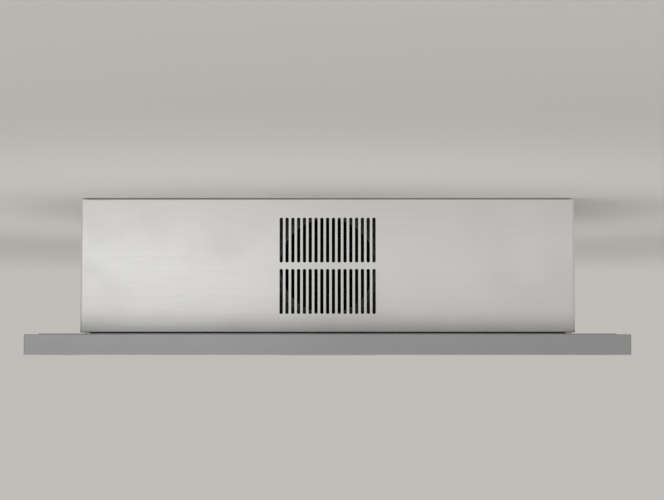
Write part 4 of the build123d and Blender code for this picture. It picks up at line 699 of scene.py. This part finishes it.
def slot_cells(centres):
    """Quads between each slot's edge and its cell's border, as grids (cells, rings, around, 3).

    Border: the cell's rectangle. Edge: two half-round ends x = sign(cos a) c + r cos a and straight
    sides. Rings lie between them: edge + s (border - edge).
    """
    half_x, half_z = SLOT_PITCH / 2, (SLOT_LENGTH + BANK_GAP) / 2
    tip = SLOT_LENGTH / 2 - SLOT_CORNER
    flat = SLOT_HALF_WIDTH - SLOT_CORNER
    a = np.linspace(-np.pi, 0, END_STEPS + 1)
    end_x = np.sign(np.round(np.cos(a), 9)) * flat + SLOT_CORNER * np.cos(a)
    end_z = SLOT_CORNER * np.sin(a) - tip
    side_z = np.linspace(-tip, tip, SIDE_STEPS + 1)[1:-1]
    edge = half_turned(end_x, end_z, SLOT_HALF_WIDTH, side_z)
    span_x = np.linspace(-half_x, half_x, END_STEPS + 1)
    span_z = np.linspace(-half_z, half_z, SIDE_STEPS + 1)[1:-1]
    border = half_turned(span_x, -half_z, half_x, span_z)
    share = np.array(RINGS_TO_BORDER)[:, None, None]
    ring = edge + share * (border - edge)
    return ring[None] + np.asarray(centres)[:, None, None, :]


def mirrored(half, sign=1.0):
    """A half profile from the middle outwards, made whole: sign is -1 for distances, 1 for setbacks."""
    return np.concatenate([sign * half[:0:-1], half])


def slotted_sheet(name, side, detail):
    """Front or rear panel: a pressed sheet with bent edges and two banks of punched slots.

    Point (u, v) is (X(u), face - side (A(u) + B(v)), Z(v)), where X, A and Z, B are the bent profiles
    across and up the sheet, so that both bends meet in a soft corner.
    """
    half_w = (BOX_HIGH.x - BOX_LOW.x) / 2
    half_h = (BOX_HIGH.z - BOX_LOW.z) / 2
    face = side * max(abs(BOX_LOW.y), abs(BOX_HIGH.y))
    block_x = SLOT_COLUMNS * SLOT_PITCH / 2
    block_z = SLOT_LENGTH + BANK_GAP
    inner_u = np.concatenate([
        np.linspace(0, block_x, SLOT_COLUMNS * END_STEPS // 2 + 1),
        np.linspace(block_x, half_w - BEND_UPRIGHT, COLUMNS_TO_BEND)[1:-1],
    ])
    inner_v = np.concatenate([
        np.linspace(0, block_z, SIDE_STEPS + 1),
        np.linspace(block_z, half_h - BEND_LEVEL, ROWS_TO_BEND)[1:-1],
    ])
    out_u, back_u = bent_profile(half_w, BEND_UPRIGHT, RETURN_DEPTH, inner_u)
    out_v, back_v = bent_profile(half_h, BEND_LEVEL, HEM_DEPTH, inner_v)
    across, back_across = mirrored(out_u, -1.0), mirrored(back_u)
    up, back_up = mirrored(out_v, -1.0), mirrored(back_v)
    grid = np.stack(np.broadcast_arrays(
        across[:, None], face - side * (back_across[:, None] + back_up[None]), GRILLE_Z + up[None],
    ), axis=-1)
    middle_u = (across[1:] + across[:-1])[:, None] / 2
    middle_v = (up[1:] + up[:-1])[None] / 2
    in_block = (abs(middle_u) < block_x) & (abs(middle_v) < block_z)
    bend_or_return = np.maximum(back_across[1:], back_across[:-1])[:, None] > 0
    in_hem = np.minimum(back_up[1:], back_up[:-1])[None] > BEND_LEVEL * ALMOST
    keep = ~in_block & ~(bend_or_return & in_hem)
    columns = (np.arange(SLOT_COLUMNS) - (SLOT_COLUMNS - 1) / 2) * SLOT_PITCH
    rows = np.array([-1, 1]) * (SLOT_LENGTH + BANK_GAP) / 2
    flat_cells = slot_cells([(x, z) for x in columns for z in rows])
    cells = np.stack([
        flat_cells[..., 0], np.full(flat_cells.shape[:-1], face), GRILLE_Z + flat_cells[..., 1],
    ], axis=-1)
    skin = Skin().add(grid, wrap_columns=False, keep=keep).add(cells)
    piece = skin.piece(name, "panel_steel", outwards=Vector((0.0, side, 0.0)))
    wall = piece.modifiers.new("thickness", "SOLIDIFY")
    wall.thickness = detail.sheet_thickness
    wall.offset = -1.0
    wall.use_even_offset = True
    rolled = piece.modifiers.new("rolled_edges", "BEVEL")
    rolled.width = detail.slot_edge
    rolled.segments = 2
    rolled.limit_method = "ANGLE"
    rolled.angle_limit = math.radians(ROLLED_FROM_DEGREES)
    rolled.harden_normals = True
    return piece


# ---- filters
FILTER_HALF_W = 141.0 * MM
BAFFLE_SHEET = 0.8 * MM
BAFFLE_HALF_W = 11.0 * MM
BAFFLE_LEG = 4.4 * MM
BAFFLE_PITCH = 31.0 * MM
BAFFLE_END_GAP = 2.0 * MM
LOWER_BAFFLES, UPPER_BAFFLES = 8, 7
STRIP_INSET = 4.0 * MM
STRIP_HALF_SIZE = (4.0 * MM, 0.6 * MM)
STRIP_EDGE = 0.3 * MM
STRIP_END_GAP = 2.2 * MM


def folded_section(corners, thickness, bend, steps=5):
    """Closed outline of folded sheet: the outer path with arcs, then the inner one on the way back.

    The inner path is the outer one moved thickness to its left, with bends of radius bend - thickness.
    """
    outer = rounded_path(corners, bend, steps)
    way = np.gradient(outer, axis=0)
    way /= np.linalg.norm(way, axis=1)[:, None]
    inner = outer + thickness * np.column_stack([-way[:, 1], way[:, 0]])
    return np.vstack([outer, inner[::-1]])


def baffle_channels(place, detail):
    """Fifteen folded channels in two layers, facing each other half a pitch apart, on two cross strips."""
    low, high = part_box(f"filter_baffles_{place}")
    middle_x, middle_z = (low.x + high.x) / 2, (low.z + high.z) / 2
    leg, half = BAFFLE_LEG, BAFFLE_HALF_W
    section = folded_section(
        [(-half, leg), (-half, 0.0), (half, 0.0), (half, leg)], BAFFLE_SHEET, detail.baffle_bend,
    )
    skin = Skin()
    for count, web_z, up in ((LOWER_BAFFLES, low.z, 1.0), (UPPER_BAFFLES, high.z, -1.0)):
        channel = along(1, section * (1.0, up), low.y + BAFFLE_END_GAP, high.y - BAFFLE_END_GAP)
        xs = middle_x + (np.arange(count) - (count - 1) / 2) * BAFFLE_PITCH
        skin.add_closed(moved(channel, [(x, 0.0, web_z) for x in xs]))
    strip_half = FILTER_HALF_W - STRIP_END_GAP
    strip = rounded_box(*STRIP_HALF_SIZE, STRIP_EDGE, 2)
    for y in (low.y + STRIP_INSET, high.y - STRIP_INSET):
        skin.add_closed(along(0, strip + (y, middle_z), middle_x - strip_half, middle_x + strip_half))
    piece = skin.piece(f"baffle_channels_{place}", "filter_steel", f"filter_{place}")
    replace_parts(piece, f"filter_baffles_{place}")


# ---- lamps
LENS_RADIUS = 26.9 * MM
LENS_EYE = 3.0 * MM
EYE_PROFILE_R = np.array([0.0, 2.0]) * MM
EYE_PROFILE_Z = np.array([0.55, 0.35]) * MM
PRISM_SHARE = 0.92
PRISM_DEPTH = 0.6 * MM
LENS_RIM = 0.5 * MM
LENS_EDGE = 0.4 * MM
CHIP_HALF = 1.7 * MM
CHIP_CORNER = 0.4 * MM
CHIP_LEVELS = np.array([8.0, 7.2, 6.9]) * MM
CHIP_SIZES = (1.0, 1.0, 0.86)
CHIP_RING = 14.0 * MM
CHIPS_ON_RING = 6


def lens_discs(detail):
    """Lamp lenses: a flat top and a lower face of prism rings, z = depth (1 - fraction(r / pitch))."""
    low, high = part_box("lamp_lenses")
    rings, top = detail.lens_rings, high.z - low.z
    pitch = (LENS_RADIUS - LENS_EYE) / rings
    edges = LENS_EYE + pitch * np.repeat(np.arange(rings), 2)
    r = np.concatenate([
        EYE_PROFILE_R, edges + np.tile([0.0, PRISM_SHARE * pitch], rings),
        [LENS_RADIUS, LENS_RADIUS, LENS_RADIUS - LENS_EDGE, 0.0],
    ])
    h = np.concatenate([
        EYE_PROFILE_Z, np.tile([PRISM_DEPTH, 0.0], rings), [LENS_RIM, top - LENS_EDGE, top, top],
    ])
    centres = np.array([
        (sx * (high.x - LENS_RADIUS), sy * (high.y - LENS_RADIUS), low.z) for sx in (-1, 1) for sy in (-1, 1)
    ])
    skin = Skin().add(moved(turned(r, h, 64), centres))
    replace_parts(skin.piece("lens_discs", "frosted_glass", sharp=25.0), "lamp_lenses")
    return centres


def lamp_chips(centres):
    """Seven light chips in each lamp, on a ring and at its middle: small rounded pads."""
    pad = raised(rounded_box(CHIP_HALF, CHIP_HALF, CHIP_CORNER, 3), CHIP_LEVELS, CHIP_SIZES)
    angles = np.arange(CHIPS_ON_RING) * 2 * np.pi / CHIPS_ON_RING
    ring = np.column_stack([CHIP_RING * np.cos(angles), CHIP_RING * np.sin(angles), 0 * angles])
    spots = (centres[:, None] + np.vstack([np.zeros((1, 3)), ring])[None]).reshape(-1, 3)
    Skin().add_closed(moved(pad, spots)).piece("lamp_chips", "button_plastic", finish="lamp_chip")


# ---- controls
CAP_RADIUS = 7.0 * MM
CAP_EDGE = 0.9 * MM
CAP_FLAT = CAP_RADIUS - CAP_EDGE
STEM_RADIUS = 2.0 * MM
BACK_LEVELS = np.array([2.15, 2.15, 3.2, 3.2, 4.4, 4.4]) * MM
MARK_LEVEL = 0.10 * MM
MARK_DEPTH = 0.4 * MM
MARK_ROUNDING = 0.6
QUARTER = math.pi / 2
LIGHT_OFFSET = 10.5 * MM
LIGHT_RADIUS, LIGHT_HEIGHT = 1.1 * MM, 0.5 * MM
WINDOW_X = 63.0 * MM
WINDOW_HALF_W, WINDOW_HALF_D, WINDOW_CORNER = 5.8 * MM, 3.8 * MM, 0.6 * MM
WINDOW_LEVELS = np.array([0.25, 0.4, 1.4]) * MM
WINDOW_SIZES = (0.97, 1.0, 1.0)

# Rings (inner and outer radius) and bars (x, y, half length, half width, angle) of each mark, in mm.
RAYS = [(2.4 * math.cos(a), 2.4 * math.sin(a), 0.5, 0.17, a) for a in np.arange(8) * QUARTER / 2]
MARKS = {
    "off": ([(2.0, 2.5)], []),
    "slower": ([], [(0, 0, 2.4, 0.3, 0)]),
    "faster": ([], [(0, 0, 2.4, 0.3, 0), (0, 1.45, 0.9, 0.3, QUARTER), (0, -1.45, 0.9, 0.3, QUARTER)]),
    "light": ([(1.0, 1.4)], RAYS),
    "timer": ([(2.1, 2.5)], [(0, -0.6, 0.75, 0.2, QUARTER), (0.45, 0, 0.6, 0.2, 0)]),
}


def button_place(name):
    """Middle of a button's lower face, and its collar's radius."""
    low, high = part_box(f"button_{name}")
    return np.array([(low.x + high.x) / 2, (low.y + high.y) / 2, low.z]), (high.x - low.x) / 2


def button_cap(name, detail):
    """Dished cap, collar and stem: z = dish (1 - (r / R)^2) over the cap, then a rounded edge."""
    centre, collar = button_place(name)
    t = np.linspace(0, 1, 9)
    a = np.linspace(0, QUARTER, 6)[1:]
    back_r = [CAP_RADIUS, collar, collar, STEM_RADIUS, STEM_RADIUS, 0.0]
    r = np.concatenate([t * CAP_FLAT, CAP_FLAT + CAP_EDGE * np.sin(a), back_r])
    h = np.concatenate([detail.cap_dish * (1 - t ** 2), CAP_EDGE * (1 - np.cos(a)), BACK_LEVELS])
    skin = Skin().add(turned(r, h, 48, centre))
    piece = skin.piece(f"cap_{name}", "button_plastic", f"{name}_button", sharp=40.0)
    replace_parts(piece, f"button_{name}")


def button_mark(name):
    """Plain symbol on each cap: a ring, one bar, two crossed bars, a ring with rays, a ring with hands."""
    base = button_place(name)[0] + (0.0, 0.0, MARK_LEVEL)
    rings, bars = MARKS[name]
    skin = Skin()
    for x, y, half_length, half_width, angle in bars:
        outline = rounded_box(half_length, half_width, half_width * MARK_ROUNDING, 4) * MM
        c, s = math.cos(angle), math.sin(angle)
        bar = raised(outline @ np.array([[c, s], [-s, c]]), (0.0, MARK_DEPTH), (1.0, 1.0))
        skin.add_closed(bar + base + (x * MM, y * MM, 0.0))
    for inner, outer in rings:
        r = np.array([inner, outer, outer, inner, inner]) * MM
        skin.add(turned(r, (0.0, 0.0, MARK_DEPTH, MARK_DEPTH, 0.0), 32, base))
    skin.piece(f"mark_{name}", "button_plastic", f"{name}_button", "white_print")


def indicator_lights():
    """Small domed light beside each button, on the bezel's lower face."""
    places = np.array([button_place(name)[0] for name in BUTTONS]) - (0.0, LIGHT_OFFSET, 0.0)
    places[:, 2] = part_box("control_bezel")[0].z
    lens = dome(LIGHT_RADIUS, LIGHT_HEIGHT) * (1, 1, -1)
    Skin().add(moved(lens, places)).piece("indicator_lights", "button_plastic", finish="green_lens")


def receiver_window():
    """Smoked window of the remote control's receiver: a rounded pad just inside the bezel's face."""
    low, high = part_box("control_bezel")
    outline = rounded_box(WINDOW_HALF_W, WINDOW_HALF_D, WINDOW_CORNER, 4)
    pad = raised(outline, WINDOW_LEVELS, WINDOW_SIZES) + (WINDOW_X, (low.y + high.y) / 2, low.z)
    Skin().add_closed(pad).piece("receiver_window", "button_plastic", finish="smoked_plastic")


# ---- small parts
DOME_SKIRT = 0.3 * MM
RIVETS_IN_ROW = 11
RIVET_END_INSET, RIVET_EDGE_INSET = 30.0 * MM, 8.0 * MM
RIVET_RADIUS, RIVET_HEIGHT = 3.2 * MM, 1.3 * MM


def dome(radius, height, around=16, rings=5):
    """Rivet head: (r cos t, h sin t) turned about Z, on a short skirt."""
    t = np.linspace(0, QUARTER, rings)
    return turned(np.concatenate([[radius * 0.98], radius * np.cos(t)]),
                  np.concatenate([[-DOME_SKIRT], height * np.sin(t)]), around)


def chassis_rivets():
    """Blind rivets along the roof's front and rear edges, into the walls' lips."""
    low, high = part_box("chassis_roof")
    xs = np.linspace(low.x + RIVET_END_INSET, high.x - RIVET_END_INSET, RIVETS_IN_ROW)
    ys = (low.y + RIVET_EDGE_INSET, high.y - RIVET_EDGE_INSET)
    head = dome(RIVET_RADIUS, RIVET_HEIGHT)
    Skin().add(moved(head, [(x, y, high.z) for x in xs for y in ys])).piece("chassis_rivets", "zinc_steel")


# ---- operators
class Step:
    """One step of dressing the hood."""

    def execute(self, context):
        self.dress(context.scene)
        return {"FINISHED"}


class FinishCadNodes(Step, Operator):
    """Gives every solid of the hood its finish, by the record's slot of its node."""

    bl_idname = "range_hood.finish_solids"
    bl_label = "Finish the solids"

    def dress(self, scene):
        make_finishes(scene.hood_finish)
        slot_of = {s["node"]: s["material_slot"] for s in frame["record"]["subparts"]}
        for name, solid in frame["nodes"].items():
            finish = finish_named(slot_of[name])
            for index in range(max(1, len(solid.data.materials))):
                if index < len(solid.material_slots):
                    solid.material_slots[index].material = finish
                else:
                    solid.data.materials.append(finish)


class MakeSlottedPanels(Step, Operator):
    """Makes the front and rear panels with their rolled slot edges."""

    bl_idname = "range_hood.slotted_panels"
    bl_label = "Slotted panels"

    def dress(self, scene):
        for name, side in (("front", -1), ("rear", 1)):
            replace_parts(slotted_sheet(f"{name}_sheet", side, scene.hood_detail), f"{name}_panel")


class MakeFilters(Step, Operator):
    """Makes the filters' folded channels."""

    bl_idname = "range_hood.filters"
    bl_label = "Filter baffles"

    def dress(self, scene):
        for place in FILTERS:
            baffle_channels(place, scene.hood_detail)


class MakeLamps(Step, Operator):
    """Makes the lamps' prism lenses and light chips."""

    bl_idname = "range_hood.lamps"
    bl_label = "Lamps"

    def dress(self, scene):
        lamp_chips(lens_discs(scene.hood_detail))


class MakeButtons(Step, Operator):
    """Makes the dished button caps, their plain symbols, the indicator lights and the window."""

    bl_idname = "range_hood.buttons"
    bl_label = "Buttons"

    def dress(self, scene):
        for name in BUTTONS:
            button_cap(name, scene.hood_detail)
            button_mark(name)
        indicator_lights()
        receiver_window()


class MakeSmallParts(Step, Operator):
    """Makes the roof's rivets."""

    bl_idname = "range_hood.small_parts"
    bl_label = "Small parts"

    def dress(self, scene):
        chassis_rivets()


class SetStage(Step, Operator):
    """Sets the camera, the ceiling, the floor, the backdrop and the light."""

    bl_idname = "range_hood.stage"
    bl_label = "Stage"

    def dress(self, scene):
        for add in (add_camera, add_world, add_ceiling, add_floor, add_lights):
            add(scene.hood_stage)
        scene.view_settings.view_transform = "Standard"


# ---- stage
DISC_POINTS = 96
CEILING_GAP = 1.0 * MM
CEILING_RINGS, FLOOR_RINGS = 12, 24
FLOOR_RADIUS = 7.0
SKY_COLOUR = (1.0, 0.99, 0.975, 1.0)
LAMP_Z = -0.103


def add_camera(stage):
    """Camera at the plate's height, looking up by the angle between the horizon row and the middle."""
    data = bpy.data.cameras.new("camera")
    data.sensor_width = SENSOR_MM
    data.lens = stage.focal_pixels / PHOTO_WIDTH * SENSOR_MM
    camera = new_object("camera", data)
    camera.location = (stage.camera_side, PLATE_LOW.y - stage.camera_distance, stage.camera_height)
    pitch = math.atan((stage.horizon_row - PHOTO_HEIGHT / 2) / stage.focal_pixels)
    camera.rotation_euler = (math.pi / 2 + pitch, 0.0, 0.0)
    bpy.context.scene.camera = camera


def add_world(stage):
    """Plain light from all sides; camera, glossy and transmission rays see the backdrop's colour.

    Reflections from steeply above or below are lighter at the front left and darker at the back right.
    """
    world = bpy.data.worlds.new("studio")
    world.use_nodes = True
    world.node_tree.nodes.clear()
    graph = Graph(world.node_tree)
    path = graph.node("LightPath").outputs
    glossy = path["Is Glossy Ray"]
    seen = graph.maths("ADD", graph.plus(path["Is Camera Ray"], glossy), path["Is Transmission Ray"], True)
    sky = graph.node("Background", {"Color": SKY_COLOUR, "Strength": stage.sky_strength})
    way = graph.parts(graph.node("TexCoord").outputs["Generated"])
    steep = graph.ramp(graph.maths("ABSOLUTE", way["Z"]), 0.35, 0.85)
    lean = graph.plus(graph.times(way["X"], -0.45), graph.times(way["Y"], -0.9))
    lean = graph.minus(graph.times(lean, 0.7), 0.12)
    shaped = graph.plus(1.0, graph.times(steep, lean))
    level = graph.plus(graph.times(shaped, glossy), graph.minus(1.0, glossy))
    backdrop = graph.node("Background", {"Color": opaque(stage.backdrop_colour), "Strength": level})
    mix = graph.node("MixShader", {0: seen, 1: sky.outputs[0], 2: backdrop.outputs[0]})
    graph.node("OutputWorld", {"Surface": mix.outputs[0]})
    bpy.context.scene.world = world


def add_disc(name, radii, height, finish, alpha):
    """Round stage surface of rings with these radii, which lets the backdrop through where alpha is 0."""
    mesh = Skin().add(turned(radii, np.full(len(radii), height), DISC_POINTS)).mesh(name)
    mesh.materials.append(finish.material)
    finish.feed(finish.shader["Alpha"], alpha)
    new_object(name, mesh)


def add_ceiling(stage):
    """Round ceiling over the hood, painted lighter near it, seen by the camera from below only, that fades
    into the backdrop.
    """
    finish = Finish("pale_ceiling")
    distance = finish.length(finish.place)
    # Painted light: the colour is lighter within 0.5 m of the hood and darker beyond 1.5 m, evening out the
    # hood's shade.
    finish.surface(finish.blend(
        finish.ramp(distance, 0.5, 1.5), opaque(stage.ceiling_colour), opaque(stage.ceiling_colour, 0.74),
    ), 0.95)
    fade = finish.ramp(distance, stage.ceiling_radius * 0.35, stage.ceiling_radius, 1.0, 0.0)
    from_below = finish.minus(1.0, finish.node("NewGeometry").outputs["Backfacing"])
    seen = finish.times(finish.node("LightPath").outputs["Is Camera Ray"], from_below)
    radii = np.linspace(stage.ceiling_radius, 0.0, CEILING_RINGS)
    add_disc("ceiling", radii, CEILING_GAP, finish, finish.times(fade, seen))


def add_floor(stage):
    """Round pale floor that fades into the backdrop between two radii."""
    finish = Finish("pale_floor")
    finish.surface(opaque(stage.backdrop_colour), 0.9)
    distance = finish.length(finish.vector("MULTIPLY", finish.place, (1.0, 1.0, 0.0)))
    seen = finish.node("LightPath").outputs["Is Camera Ray"]
    alpha = finish.times(finish.ramp(distance, 2.5, 6.8, 1.0, 0.0), seen)
    add_disc("floor", np.linspace(0.0, FLOOR_RADIUS, FLOOR_RINGS), -stage.floor_drop, finish, alpha)


def add_lights(stage):
    """Two level strips end to end in front of the box, and soft lamps from below and from behind."""
    lamps = (
        ("key", stage.key_power, (-0.855, -1.1, LAMP_Z), (-0.755, 0.0, LAMP_Z), 1.49, 0.18, 50.0),
        ("fill", stage.fill_power, (0.56, -1.1, LAMP_Z), (0.56, 0.0, LAMP_Z), 1.22, 0.18, 50.0),
        ("under", stage.under_power, (-1.6, -2.2, -2.6), (0.0, 0.0, -0.2), 4.6, 4.6, 180.0),
        ("back", stage.back_power, (0.6, 2.6, 2.2), (0.0, 0.0, -0.13), 2.6, 2.6, 180.0),
    )
    for name, power, place, target, width, height, spread in lamps:
        data = bpy.data.lights.new(name, "AREA")
        data.shape = "RECTANGLE"
        data.size, data.size_y = width, height
        data.energy = power
        data.spread = math.radians(spread)
        lamp = new_object(name, data)
        lamp.visible_camera = False
        lamp.location = place
        lamp.rotation_euler = (Vector(target) - Vector(place)).to_track_quat("-Z", "Y").to_euler()


class RangeHoodPanel(Panel):
    """Lists the steps that dress the hood."""

    bl_idname = "RANGE_HOOD_PT_steps"
    bl_label = "Range Hood"
    bl_space_type = "VIEW_3D"
    bl_region_type = "UI"
    bl_category = "Range Hood"

    def draw(self, context):
        for step in STEPS:
            self.layout.operator(step.bl_idname)
        for group in (getattr(context.scene, name) for name in SETTINGS):
            for key in group.bl_rna.properties.keys():
                if key not in ("rna_type", "name"):
                    self.layout.prop(group, key)


STEPS = (
    FinishCadNodes, MakeSlottedPanels, MakeFilters, MakeLamps, MakeButtons, MakeSmallParts, SetStage,
)
SETTINGS = {"hood_finish": HoodFinish, "hood_detail": HoodDetail, "hood_stage": HoodStage}


def register():
    """Adds the settings, steps and panel."""
    for made in (*SETTINGS.values(), *STEPS, RangeHoodPanel):
        bpy.utils.register_class(made)
    for name, group in SETTINGS.items():
        setattr(bpy.types.Scene, name, PointerProperty(type=group))


def unregister():
    """Takes the settings, steps and panel away again."""
    for name in SETTINGS:
        delattr(bpy.types.Scene, name)
    for made in reversed((*SETTINGS.values(), *STEPS, RangeHoodPanel)):
        bpy.utils.unregister_class(made)


def main():
    """Runs every step in order."""
    register()
    for step in STEPS:
        family, action = step.bl_idname.split(".")
        getattr(getattr(bpy.ops, family), action)()


if __name__ == "__main__":
    main()
